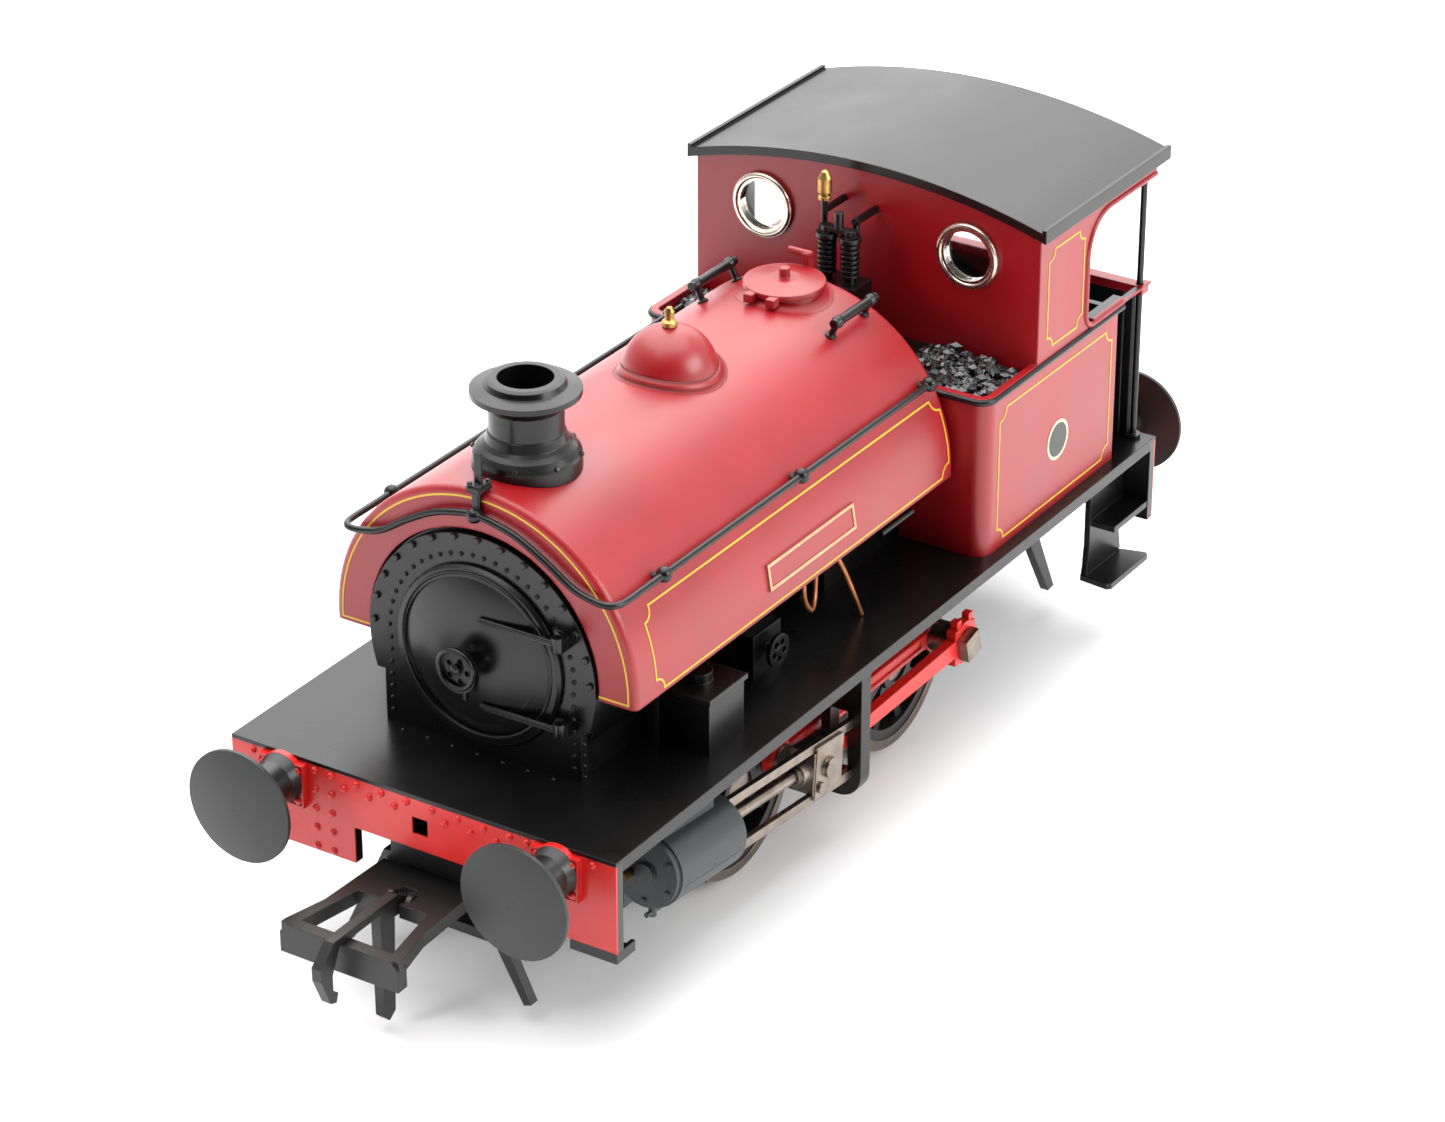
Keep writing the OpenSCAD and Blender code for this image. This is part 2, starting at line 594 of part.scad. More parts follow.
module backhead() color(satin_black) difference() {
    union() {
        slab_y(cab_front + 0.75, cab_front + 2.4) arch_outline(7.2, 7.2);
        along_y([0, cab_front + 2.4, 20]) cylinder(r = 2, h = 0.5);
        along_y([0, cab_front + 2.4, 25.5]) cylinder(r = 0.5, h = 1);
        box([-0.3, cab_front + 3, 22.5], [0.3, cab_front + 3.4, 25.8]);
        for (x = [-3, 3]) along_y([x, cab_front + 2.4, 27.3]) cylinder(r = 0.9, h = 0.5);
        both_sides() box([5, cab_front + 2.3, 23], [5.5, cab_front + 2.9, 27]);
    }
    translate([0, screw_rear_y, plate_z - 1]) cylinder(r = 2.5, h = 4.2);
}

module footsteps() color(satin_black) both_sides() {
    // Low step under each front corner
    box([12.2, -half_l, 7.65], [half_w, 0.4 - half_l, beam_bottom]);
    box([12.2, -half_l, 7.65], [half_w, 2.2 - half_l, 7.95]);
    box([half_w - 0.3, -half_l, 7.65], [half_w, 2.2 - half_l, beam_bottom]);
    // Two-tread steps below the cab
    slab_x(13.4, 13.9) polygon([[31.6, plate_bottom], [37, plate_bottom], [37, 9.2], [36.3, 8.4], [36.9, 5.6],
        [31.2, 5.0], [31.4, 6.2], [31.6, 8]]);
    translate([0, 0, 5]) linear_extrude(0.5) polygon([[13.4, 31.2], [15.9, 30.9], [16.2, 31.2], [16.2, 37.2],
        [15.9, 37.4], [13.4, 36.7]]);
    box([13.4, 31.7, 9.7], [16, 37, 10.2]);
}

// ---------- Chassis and drive ----------

module chassis_block() color(satin_black) difference() {
    union() {
        box([-chassis_hw, -30, chassis_bottom], [chassis_hw, 30, chassis_top]);
        both_ends() {
            box([-3.4, -36.9, 8.6], [3.4, -30, 12.2]);
            box([-3.2, -35, chassis_bottom], [3.2, -30, chassis_bottom + 0.8]);
        }
        guard_irons();
    }
    for (y = [front_y, rear_y]) box([-6, y - 2, 2], [6, y + 2, 9]);
    // Motor bay, then the worm and gear wells
    box([-4.75, -10.7, 7.2], [4.75, 1.9, 16]);
    box([-2.2, 1.8, 9], [2.2, 13.4, 16]);
    box([-1.6, 4.8, 2], [1.6, 12.8, 12]);
    // Circuit board tray
    box([-5.1, 14.2, 12.8], [5.1, 29.4, 16]);
    for (y = [screw_front_y, screw_rear_y]) translate([0, y, 2]) {
        cylinder(r = 1.05, h = 14);
        cylinder(r = 2, h = 3);
    }
    for (y = [plinth_front_y, plinth_rear_y]) translate([0, y, 2]) cylinder(r = 0.8, h = 5.5);
    // Pockets for the coupling shanks
    both_ends() box([-2.5, -38, 7.3], [2.5, -30, 8.6]);
}

// Splayed irons in front, raked ones behind
module guard_irons() both_sides() {
    slab_y(-36.9, -36.1) polygon([[2.6, 9.6], [4, 9.6], [8.1, 1], [7.5, 0.8]]);
    slab_x(7.9, 8.6) polygon([[30, 9.4], [31.8, 9.4], [35.9, 1.1], [35, 1.0]]);
    box([3.3, 30, 8.8], [8.6, 31.5, 9.6]);
}

module keeper_plate() color(satin_black) difference() {
    box([-chassis_hw, -17.8, 2.7], [chassis_hw, 14.3, chassis_bottom]);
    box([-1.6, 4.8, 2], [1.6, 12.8, 5]);
    for (y = [-8, 2]) translate([0, y, 2]) cylinder(r = 0.65, h = 3);
}

module axle_bearings() color(brass) for (y = [front_y, rear_y]) both_sides() difference() {
    box([3.9, y - 1.95, 3.6], [5.45, y + 1.95, 8.95]);
    along_x([3, y, axle_z]) cylinder(r = axle_r + run_gap, h = 4);
}

module pickup_strips() color(copper) both_sides() {
    box([chassis_hw + 0.02, -12.4, 9.6], [chassis_hw + 0.22, 8, 10.4]);
    for (y = [-12.4, 7.6]) box([chassis_hw + 0.1, y, 9.6], [wheel_back - 0.1, y + 0.4, 10.4]);
}

module motor() color(steel) difference() {
    union() {
        intersection() {
            along_y([0, -10.4, worm_z]) cylinder(r = 4.6, h = 11.6);
            box([-5, -10.4, worm_z - 3.9], [5, 1.2, worm_z + 3.9]);
        }
        along_y([0, 1.1, worm_z]) cylinder(r = 1.3, h = 0.6);
    }
    along_y([0, -9.6, worm_z]) cylinder(r = 0.5 + run_gap, h = 14);
}

// Single-start worm: a lobed section twisted along its length
module worm() along_y([0, rear_y, worm_z]) linear_extrude(height = 4 * worm_pitch, twist = 1440, slices = 72,
    center = true, $fn = 6) polygon([for (a = [0 : 20 : 340]) let (d = abs(a - 90))
        (d <= 30 ? 1.6 : d <= 50 ? 1.1 : 0.85) * [cos(a), sin(a)]]);

module motor_shaft_and_worm() color(brass) {
    along_y([0, -9.4, worm_z]) cylinder(r = 0.5, h = 21.6);
    worm();
}

module circuit_board() color([0.05, 0.3, 0.15]) difference() {
    union() {
        box([-5, 14.4, 12.85], [5, 29.2, 13.65]);
        box([-2, 24.6, 13.6], [2, 28, 14.4]);
        box([-4.2, 15.2, 13.6], [-2.4, 18.6, 14.3]);
    }
    translate([0, screw_rear_y, 12]) cylinder(r = 1.2, h = 3);
}

module body_screws() color(steel) {
    for (y = [screw_front_y, screw_rear_y]) translate([0, y, 0]) difference() {
        union() {
            translate([0, 0, 3.7]) cylinder(r = 1.8, h = 1.25);
            translate([0, 0, 4.9]) cylinder(r = 0.9, h = 12.2);
        }
        box([-2, -0.2, 3], [2, 0.2, 4.2]);
    }
    for (y = [-8, 2]) translate([0, y, 0]) {
        translate([0, 0, 2.3]) cylinder(r = 1.1, h = 0.38);
        translate([0, 0, 2.6]) cylinder(r = 0.6, h = 0.88);
    }
}

// ---------- Cylinders and motion ----------

module cylinder_side() difference() {
    union() {
        on_stroke_line() translate([motion_x, 0, 0]) {
            along_y([0, cyl_front + 0.5, 0]) cylinder(r = cyl_r, h = cyl_rear - cyl_front - 0.8, $fn = 64);
            along_y([0, cyl_front, 0]) cylinder(r = cyl_r - 0.15, h = 0.6, $fn = 64);
            along_y([0, cyl_front - 0.3, 0]) cylinder(r = 0.75, h = 0.4);
            along_y([0, cyl_rear - 0.4, 0]) cylinder(r = 2.45, h = 0.4);
            along_y([0, cyl_rear - 0.1, 0]) cylinder(r = 0.95, h = 0.9);
            for (i = [0 : 5]) rotate([0, 60 * i + 30, 0]) translate([2.1, cyl_front - 0.2, 0])
                rotate([-90, 0, 0]) cylinder(r = 0.22, h = 0.3, $fn = 6);
            // Drain cocks under both ends and their operating rod
            for (y = [cyl_front + 1.2, cyl_rear - 1.2])
                translate([0, y, -cyl_r - 1]) cylinder(r = 0.3, h = 1.3);
            along_y([0, cyl_front + 0.4, -cyl_r - 0.7]) cylinder(r = 0.18, h = 8);
        }
        // Valve chest against the frame, and the flange up to the running plate
        box([chassis_hw, -29.4, 5.8], [10.8, -22.4, 13.6]);
        box([10, -29, 10], [14, -23, plate_bottom - 0.02]);
    }
    on_stroke_line() along_y([motion_x, cyl_front + 0.5, 0]) cylinder(r = piston_r + run_gap, h = 20);
}

module cylinders() color(dark_steel) both_sides() cylinder_side();

module slide_bars() color(steel) both_sides() intersection() {
    on_stroke_line() for (z = [bar_in, -bar_out])
        box([bar_x, cyl_rear, z], [bar_x + bar_w, 12, z + bar_out - bar_in]);
    box([10, -40, 0], [20, bracket_y, 20]);
}

module motion_brackets() color(satin_black) both_sides() slab_y(bracket_y, bracket_y + 1.25) difference() {
    union() {
        translate([11.4, 5.1]) square([3.4, plate_bottom - 5.1 - 0.02]);
        translate([11.4, 3.2]) square([1.5, 3]);
        intersection() {
            translate([12.9, 5.1]) circle(r = 1.9);
            translate([12, 3]) square([2.8, 3]);
        }
    }
    // The connecting rod swings in this opening
    translate([12.2, 5]) square([bar_x - 12.2, 5.3]);
}

module axle(y, pin_end) {
    along_x([-wheel_face + 0.1, y, axle_z]) cylinder(r = axle_r, h = 2 * wheel_face - 0.2);
    for (s = [0, 1]) mirror([s, 0, 0]) rotate_crank(y, s == 0 ? crank_left : crank_right) {
        along_x([wheel_back + 1, crank_r, 0]) cylinder(r = pin_r, h = pin_end - wheel_back - 1);
        if (pin_end < motion_x)
            along_x([rod_out + 0.02, crank_r, 0]) cylinder(r = 1.1, h = pin_end - rod_out);
    }
}

// Children drawn around the axle, with the crank along +Y, turned to the crank angle
module rotate_crank(y, angle) translate([0, y, axle_z]) rotate([angle, 0, 0]) children();

module front_axle() color(steel) axle(front_y, rod_out + 0.3);

module rear_axle() color(steel) {
    axle(rear_y, motion_x + conn_t / 2 + 0.3);
    for (s = [0, 1]) mirror([s, 0, 0]) rotate_crank(rear_y, s == 0 ? crank_left : crank_right) {
        along_x([rod_out + 0.02, crank_r, 0]) cylinder(r = 1.25, h = motion_x - conn_t / 2 - rod_out - 0.07);
        translate([motion_x + conn_t / 2 + 0.05, crank_r - 0.95, -0.95]) cube([0.8, 1.9, 1.9]);
    }
}

module wheel_centre() difference() {
    union() {
        along_x([wheel_back + 0.1, 0, 0]) difference() {
            cylinder(r = 6.15, h = 2.45, $fn = 96);
            translate([0, 0, -1]) cylinder(r = 5.35, h = 5, $fn = 96);
        }
        for (i = [0 : 9]) rotate([36 * i + 18, 0, 0]) slab_x(wheel_back + 0.7, wheel_back + 2.1)
            polygon([[1, -0.55], [5.6, -0.38], [5.6, 0.38], [1, 0.55]]);
        along_x([wheel_back + 0.1, 0, 0]) cylinder(r = 2.1, h = wheel_face - wheel_back);
        along_x([wheel_back + 0.4, crank_r, 0]) cylinder(r = 1.45, h = wheel_face - wheel_back - 0.25);
        box([wheel_back + 0.4, 0, -1.2], [wheel_face + 0.05, crank_r, 1.2]);
    }
    along_x([0, 0, 0]) cylinder(r = axle_r, h = 20);
    along_x([0, crank_r, 0]) cylinder(r = pin_r, h = 20);
}

module wheel_pair(y) for (s = [0, 1]) mirror([s, 0, 0])
    rotate_crank(y, s == 0 ? crank_left : crank_right) wheel_centre();

// Tyre section: radius against distance from the wheel's back
module tyre_pair(y) both_sides() along_x([wheel_back, y, axle_z]) rotate_extrude($fn = 128)
    polygon([[6.15, 0], [wheel_d / 2 + 0.4, 0], [wheel_d / 2 + 0.6, 0.2], [wheel_d / 2 + 0.6, 0.4],
        [wheel_d / 2 + 0.05, 0.8], [wheel_d / 2 - 0.03, 2.5], [wheel_d / 2 - 0.15, 2.65], [6.15, 2.65]]);

module axle_gear() color(brass) along_x([-0.6, rear_y, axle_z]) difference() {
    union() {
        cylinder(r = 2.55, h = 1.2);
        for (i = [0 : gear_teeth - 1]) rotate(360 / gear_teeth * (i + 0.5)) linear_extrude(1.2)
            polygon([[-2.4, -0.26], [-3.35, -0.12], [-3.35, 0.12], [-2.4, 0.26]]);
    }
    translate([0, 0, -1]) cylinder(r = axle_r, h = 4);
}

// Fluted bar with round eyes, drawn along +Y from its first eye
module rod_bar(length, half0, half1) polygon([[0, -half0], [length, -half1], [length, half1], [0, half0]]);

module coupling_rod(crank) color(signal_red) {
    turn = [0, crank_r * cos(crank), crank_r * sin(crank)];
    translate([0, front_y, axle_z] + turn) difference() {
        union() {
            slab_x(rod_in, rod_out) rod_bar(wheelbase, 0.6, 0.6);
            for (y = [0, wheelbase]) {
                along_x([rod_in, y, 0]) cylinder(r = 1.35, h = rod_out - rod_in);
                translate([rod_in + 0.1, y - 0.3, 1.1]) cube([0.6, 0.6, 0.75]);
            }
        }
        for (y = [0, wheelbase]) along_x([rod_in - 1, y, 0]) cylinder(r = pin_r + run_gap, h = 4);
        box([rod_out - 0.15, 2, -0.3], [rod_out + 1, wheelbase - 2, 0.3]);
    }
}

module connecting_rod(crank) color(signal_red) {
    along = small_end_at(crank);
    small_y = front_y + along * cos(incline) + stroke_lift * sin(incline);
    small_z = axle_z - along * sin(incline) + stroke_lift * cos(incline);
    pin_y = rear_y + crank_r * cos(crank);
    pin_z = axle_z + crank_r * sin(crank);
    angle = atan2(pin_z - small_z, pin_y - small_y);
    translate([motion_x - conn_t / 2, small_y, small_z]) rotate([angle, 0, 0])
        difference() {
            union() {
                slab_x(0, conn_t) rod_bar(rod_len, 0.5, 0.72);
                along_x([0, 0, 0]) cylinder(r = 0.95, h = conn_t);
                along_x([0, rod_len, 0]) cylinder(r = 1.7, h = conn_t);
                box([0, rod_len - 1.5, -1.45], [conn_t, rod_len + 1.3, 1.45]);
                for (y = [-1.1, 0.6]) translate([0.1, rod_len + y, 1.3]) cube([0.6, 0.6, 0.8]);
            }
            along_x([-1, 0, 0]) cylinder(r = 0.46, h = 4);
            along_x([-1, rod_len, 0]) cylinder(r = pin_r + big_end_play, h = 4);
        }
}

// Block between the slide bars, with cheeks over their outer faces, a neck for the rod and the pin's head
module crosshead(crank) color(steel) on_stroke_line(small_end_at(crank)) difference() {
    union() {
        box([motion_x - 0.95, -1.9, run_gap - bar_in], [bar_x + bar_w + 0.1, 1.9, bar_in - run_gap]);
        box([bar_x + bar_w + 0.05, -1.8, -2.1], [bar_x + bar_w + 0.25, 1.8, 2.1]);
        along_y([motion_x, -2.9, 0]) cylinder(r = 0.95, h = 1.1);
        along_y([motion_x, -3.2, 0]) cylinder(r = 0.7, h = 0.4);
        along_x([bar_x + bar_w + 0.2, 0, 0]) cylinder(r = 0.8, h = 0.35);
    }
    box([motion_x - 0.5, -1.15, -1.5], [motion_x + 0.5, 3, 1.5]);
    along_y([motion_x, -4, 0]) cylinder(r = piston_r + run_gap, h = 3);
    translate([0, -small_end_y, -stroke_lift]) along_x([motion_x, 0, 0]) cylinder(r = 0.3 + run_gap, h = 3);
}

// The bolt that holds the lower slipper, a little ahead of the small end and below it
module slipper_bolt(crank) color(dark_steel) on_stroke_line(small_end_at(crank) - small_end_y)
    translate([0, 0, -stroke_lift]) {
        along_x([motion_x + 0.55, 0, 0]) cylinder(r = 0.3, h = bar_w + 0.5);
        along_x([bar_x + bar_w + 0.3, 0, 0]) cylinder(r = 0.42, h = 0.2);
    }

// The rod's front end stays inside the cylinder over the whole stroke
module piston_rod(crank) color(steel) on_stroke_line(small_end_at(crank))
    along_y([motion_x, -13.4, 0]) cylinder(r = piston_r, h = 12.1);

module small_end_ball(crank) color(steel) on_stroke_line(small_end_at(crank))
    translate([motion_x, 0, 0]) sphere(r = 0.4);

module right_side() mirror([1, 0, 0]) children();

// ---------- Assembly ----------

running_plate();
buffer_beams();
buffer_housings();
buffer_springs();
placed_head(1, 0);  // buffer_head_front_left
placed_head(-1, 0);  // buffer_head_front_right
placed_head(1, 1);  // buffer_head_rear_left
placed_head(-1, 1);  // buffer_head_rear_right
coupling_frames();
color(satin_black) coupling_hook();  // coupling_hook_front
color(satin_black) mirror([0, 1, 0]) coupling_hook();  // coupling_hook_rear
saddle_tank();
filler_lid();
brass_fittings();
safety_valves();
handrails();
smokebox();
smokebox_door();
chimney();
boiler();
sandboxes_and_valves();
copper_pipes();
cab_body();
cab_roof();
window_rims();
window_glass();
coal_load();
cab_pillars();
backhead();
footsteps();
chassis_block();
keeper_plate();
axle_bearings();
pickup_strips();
motor();
motor_shaft_and_worm();
circuit_board();
body_screws();
cylinders();
slide_bars();
motion_brackets();
front_axle();
color(satin_black) wheel_pair(front_y);  // front_wheels
color(steel) tyre_pair(front_y);  // front_tyres
rear_axle();
color(satin_black) wheel_pair(rear_y);  // rear_wheels
color(steel) tyre_pair(rear_y);  // rear_tyres
axle_gear();
coupling_rod(crank_left);  // coupling_rod_left
right_side() coupling_rod(crank_right);  // coupling_rod_right
connecting_rod(crank_left);  // connecting_rod_left
right_side() connecting_rod(crank_right);  // connecting_rod_right
crosshead(crank_left);  // crosshead_left
right_side() crosshead(crank_right);  // crosshead_right
slipper_bolt(crank_left);  // slipper_bolt_left
right_side() slipper_bolt(crank_right);  // slipper_bolt_right
piston_rod(crank_left);  // piston_rod_left
right_side() piston_rod(crank_right);  // piston_rod_right
small_end_ball(crank_left);  // small_end_ball_left
right_side() small_end_ball(crank_right);  // small_end_ball_right
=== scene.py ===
"""Looks of the OO-gauge saddle-tank locomotive.

Finishes for the CAD nodes, and the fine pieces that the CAD leaves out.

Lengths inside the functions are millimetres in the row frame; piece() turns them into metres.
"""
import json
import math
import random

import bmesh
import bpy
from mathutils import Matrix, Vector

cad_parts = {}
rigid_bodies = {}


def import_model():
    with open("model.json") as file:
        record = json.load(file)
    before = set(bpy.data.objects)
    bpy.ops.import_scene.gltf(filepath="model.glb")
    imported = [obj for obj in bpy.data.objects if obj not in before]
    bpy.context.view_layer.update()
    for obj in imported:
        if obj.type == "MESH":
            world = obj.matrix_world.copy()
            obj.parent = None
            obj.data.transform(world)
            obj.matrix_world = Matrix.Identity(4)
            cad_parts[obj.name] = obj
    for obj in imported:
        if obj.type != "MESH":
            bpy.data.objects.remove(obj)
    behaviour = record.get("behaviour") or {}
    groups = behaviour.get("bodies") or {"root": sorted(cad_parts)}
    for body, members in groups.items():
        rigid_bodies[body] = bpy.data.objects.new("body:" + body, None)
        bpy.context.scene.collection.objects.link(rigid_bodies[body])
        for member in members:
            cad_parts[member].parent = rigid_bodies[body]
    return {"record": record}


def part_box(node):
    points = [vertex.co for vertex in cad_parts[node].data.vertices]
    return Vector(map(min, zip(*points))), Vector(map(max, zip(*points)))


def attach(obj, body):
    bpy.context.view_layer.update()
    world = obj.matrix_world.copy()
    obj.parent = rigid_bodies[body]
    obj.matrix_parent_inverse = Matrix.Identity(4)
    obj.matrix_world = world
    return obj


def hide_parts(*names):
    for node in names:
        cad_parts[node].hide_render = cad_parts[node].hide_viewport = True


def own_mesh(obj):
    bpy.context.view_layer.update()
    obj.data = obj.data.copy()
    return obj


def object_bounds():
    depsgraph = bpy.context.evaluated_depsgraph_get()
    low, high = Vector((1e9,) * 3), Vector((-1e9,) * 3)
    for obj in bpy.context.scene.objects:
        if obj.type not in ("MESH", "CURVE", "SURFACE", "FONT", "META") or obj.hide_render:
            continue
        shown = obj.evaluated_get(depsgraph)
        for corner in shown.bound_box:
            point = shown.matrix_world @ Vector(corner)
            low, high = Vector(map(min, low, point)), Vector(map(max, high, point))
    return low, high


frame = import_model()
cad_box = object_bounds()

MM = 0.001
ROOT = "loco_body"
SIDES = (1, -1)


def span(node):
    """Lowest and highest corner of a CAD node, in millimetres."""
    low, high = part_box(node)
    return low / MM, high / MM


beam_high = span("buffer_beams")[1]
tank_low = span("saddle_tank")[0]
cab_low, cab_high = span("cab_body")
smokebox_low, smokebox_high = span("smokebox")
coal_low, coal_high = span("coal_load")
rim_low, rim_high = span("window_rims")
chimney_low, chimney_high = span("chimney")

TANK_R = 12.5
BOILER_Z = tank_low.z + 0.65
TANK_TOP = BOILER_Z + TANK_R
TANK_FRONT = tank_low.y
DOME_Y = -6.9
DOME_R = 3.5
FILLER_Y = 8.4
FILLER_R = 2.75
SMOKEBOX_R = 9.38
SMOKEBOX_Z = smokebox_high.z - SMOKEBOX_R
SMOKEBOX_FRONT = smokebox_low.y
DOOR_Z = SMOKEBOX_Z + 0.4
DOOR_FACE = SMOKEBOX_FRONT - 1.25
CAB_SIDE = cab_high.x - 0.05
CAB_FRONT = 19.85
BUNKER_FRONT = cab_low.y
BUNKER_CORNER = 1.2
BUFFER_X = 11.4
BUFFER_Z = 13.7
LINE_W = 0.14
BUNKER_TOP = 28.5
SHEET = 0.6
REAR_SHEET = 37.0
REAR_EDGE_TOP = BUNKER_TOP - 0.62
# The cab stands on the running plate.
PLATE_TOP = cab_low.z
MOTION_X = 13.1
FRONT_AXLE_Y = -13.2
AXLE_Z = 7


# ---------- Finishes ----------

class Graph:
    """A material's node tree, with the steps that the finishes share."""

    def __init__(self, name):
        self.material = bpy.data.materials.new(name)
        self.material.use_nodes = True
        self.tree = self.material.node_tree
        self.tree.nodes.clear()
        self.place = self.add("ShaderNodeTexCoord").outputs["Object"]

    def put(self, socket, value):
        if isinstance(value, bpy.types.NodeSocket):
            self.tree.links.new(value, socket)
        else:
            socket.default_value = value

    def add(self, kind, settings=None, **inputs):
        node = self.tree.nodes.new(kind)
        for key, value in (settings or {}).items():
            setattr(node, key, value)
        for key, value in inputs.items():
            self.put(node.inputs[key.replace("_", " ")], value)
        return node

    def noise(self, size, detail=2.0, stretch=(1, 1, 1)):
        """Noise whose patches are about size millimetres, longer along the axes with a small stretch."""
        place = self.add("ShaderNodeMapping", Vector=self.place, Scale=stretch).outputs["Vector"]
        node = self.add("ShaderNodeTexNoise", Vector=place, Scale=1 / (size * MM), Detail=detail)
        return node.outputs["Fac"]

    def remap(self, value, low, high, start, end):
        node = self.add("ShaderNodeMapRange", Value=value, From_Min=low, From_Max=high,
                        To_Min=start, To_Max=end)
        return node.outputs["Result"]

    def mix(self, share, first, second):
        node = self.add("ShaderNodeMix", {"data_type": "RGBA"})
        for index, value in ((0, share), (6, first), (7, second)):
            self.put(node.inputs[index], value)
        return node.outputs[2]

    def times(self, first, second):
        node = self.add("ShaderNodeMath", {"operation": "MULTIPLY"})
        self.put(node.inputs[0], first)
        self.put(node.inputs[1], second)
        return node.outputs["Value"]

    def rounded(self, radius):
        """Normals of edges rounded by radius millimetres."""
        return self.add("ShaderNodeBevel", {"samples": 4}, Radius=radius * MM).outputs["Normal"]

    def edges(self, rounded):
        """1 along the edges that rounded bends, 0 on flat faces; the finishes lay painted highlights with it.
        """
        normal = self.add("ShaderNodeNewGeometry").outputs["Normal"]
        dot = self.add("ShaderNodeVectorMath", {"operation": "DOT_PRODUCT"})
        self.put(dot.inputs[0], normal)
        self.put(dot.inputs[1], rounded)
        flat, turned = 0.995, 0.9
        return self.remap(dot.outputs["Value"], flat, turned, 0.0, 1.0)

    def bump(self, height, strength, distance, normal):
        node = self.add("ShaderNodeBump", Height=height, Strength=strength, Distance=distance * MM,
                        Normal=normal)
        return node.outputs["Normal"]

    def surface(self, **inputs):
        shader = self.add("ShaderNodeBsdfPrincipled", **inputs)
        self.add("ShaderNodeOutputMaterial", Surface=shader.outputs["BSDF"])
        return self.material


def shade(colour, factor):
    return tuple(min(1.0, c * factor) for c in colour[:3]) + (1.0,)


class Paint:
    """Sprayed paint: broad tone drift, fine orange peel, and a painted highlight in a lighter colour along
    its edges.
    """

    def __init__(self, name, colour, edge, roughness, rounding=0.1, texture=0.12):
        self.g = Graph(name)
        self.rounded = self.g.rounded(rounding)
        # painted highlight: mask of the edges, where the lighter edge colour is laid
        self.edge_highlight = self.g.edges(self.rounded)
        self.drift = self.g.remap(self.g.noise(6.0), 0.3, 0.7, 0, 1)
        self.tone = self.coat(colour, edge)
        self.rough = self.g.remap(self.drift, 0, 1, roughness - 0.03, roughness + 0.04)
        self.peel = self.g.bump(self.g.noise(0.22, 3.0), texture, 0.01, self.rounded)

    def coat(self, colour, edge):
        """The tone of one colour of paint, lightened towards edge as a painted highlight where the metal
        turns.
        """
        tone = self.g.mix(self.drift, shade(colour, 0.9), shade(colour, 1.08))
        # painted highlight: the edge colour laid along the edges
        return self.g.mix(self.edge_highlight, tone, shade(edge, 1))

    def over(self, share, colour, edge):
        """Paints the given share of the surface in a second colour."""
        self.tone = self.g.mix(share, self.tone, self.coat(colour, edge))

    def finish(self, gloss=0.5, clear=0.0):
        return self.g.surface(Base_Color=self.tone, Roughness=self.rough, Normal=self.peel,
                              Specular_IOR_Level=gloss, Coat_Weight=clear, Coat_Roughness=0.25)


def paint(name, colour, edge, roughness, gloss=0.5, clear=0.0, rounding=0.1, texture=0.12):
    return Paint(name, colour, edge, roughness, rounding, texture).finish(gloss, clear)


def moulding(name, colour, roughness):
    """Matt moulded plastic with a fine spark-eroded grain, and a painted highlight along its edges."""
    g = Graph(name)
    rounded = g.rounded(0.12)
    grain = g.noise(0.09, 4.0)
    tone = g.mix(grain, shade(colour, 0.85), shade(colour, 1.2))
    # painted highlight: edges lightened to 2.2 times the colour
    edge_lit_tone = g.mix(g.edges(rounded), tone, shade(colour, 2.2))
    return g.surface(Base_Color=edge_lit_tone, Roughness=g.remap(grain, 0, 1, roughness - 0.06, roughness + 0.06),
                     Normal=g.bump(grain, 0.2, 0.012, rounded), Specular_IOR_Level=0.5)


def metal(name, colour, tarnish, roughness, stretch=(1, 1, 1), rounding=0.06):
    """Machined metal: tool marks along the part, tarnish in patches, and a painted highlight along the edges.
    """
    g = Graph(name)
    rounded = g.rounded(rounding)
    marks = g.noise(0.12, 3.0, stretch)
    patches = g.remap(g.noise(1.1, 4.0), 0.3, 0.75, 0, 1)
    tone = g.mix(patches, shade(colour, 1), shade(tarnish, 1))
    # painted highlight: edges lightened to 1.25 times the colour
    edge_lit_tone = g.mix(g.edges(rounded), tone, shade(colour, 1.25))
    rough = g.remap(marks, 0.2, 0.8, roughness - 0.08, roughness + 0.1)
    normal = g.bump(marks, 0.12, 0.01, rounded)
    return g.surface(Base_Color=edge_lit_tone, Metallic=1.0, Roughness=rough, Normal=normal)


def beyond(g, axis, limit):
    """1 where the distance from the centre plane, in millimetres along axis, is over limit."""
    along = g.add("ShaderNodeSeparateXYZ", Vector=g.place).outputs[axis]
    reach = g.add("ShaderNodeMath", {"operation": "ABSOLUTE"}, Value=along).outputs["Value"]
    return g.remap(reach, (limit - 0.02) * MM, limit * MM, 0, 1)


def within(g, axis, low, high):
    """1 where the place along axis lies between two heights in millimetres."""
    along = g.add("ShaderNodeSeparateXYZ", Vector=g.place).outputs[axis]
    over = g.remap(along, low * MM, (low + 0.02) * MM, 0, 1)
    under = g.remap(along, (high - 0.02) * MM, high * MM, 1, 0)
    return g.times(over, under)


def housing_finish():
    """Buffer housings: black casting on a base plate painted with the beam."""
    red = Paint("housing_paint", SIGNAL_RED, RED_EDGE_HIGHLIGHT, 0.36)
    red.over(beyond(red.g, "Y", beam_high.y + 0.52), BLACK, BLACK_EDGE_HIGHLIGHT)
    return red.finish()


def beam_finish():
    """Buffer beams: red outside, black on the edges and behind."""
    black = Paint("beam_paint", BLACK, BLACK_EDGE_HIGHLIGHT, 0.36, rounding=0.06)
    black.over(beyond(black.g, "Y", beam_high.y - 0.12), SIGNAL_RED, RED_EDGE_HIGHLIGHT)
    return black.finish(clear=0.2)


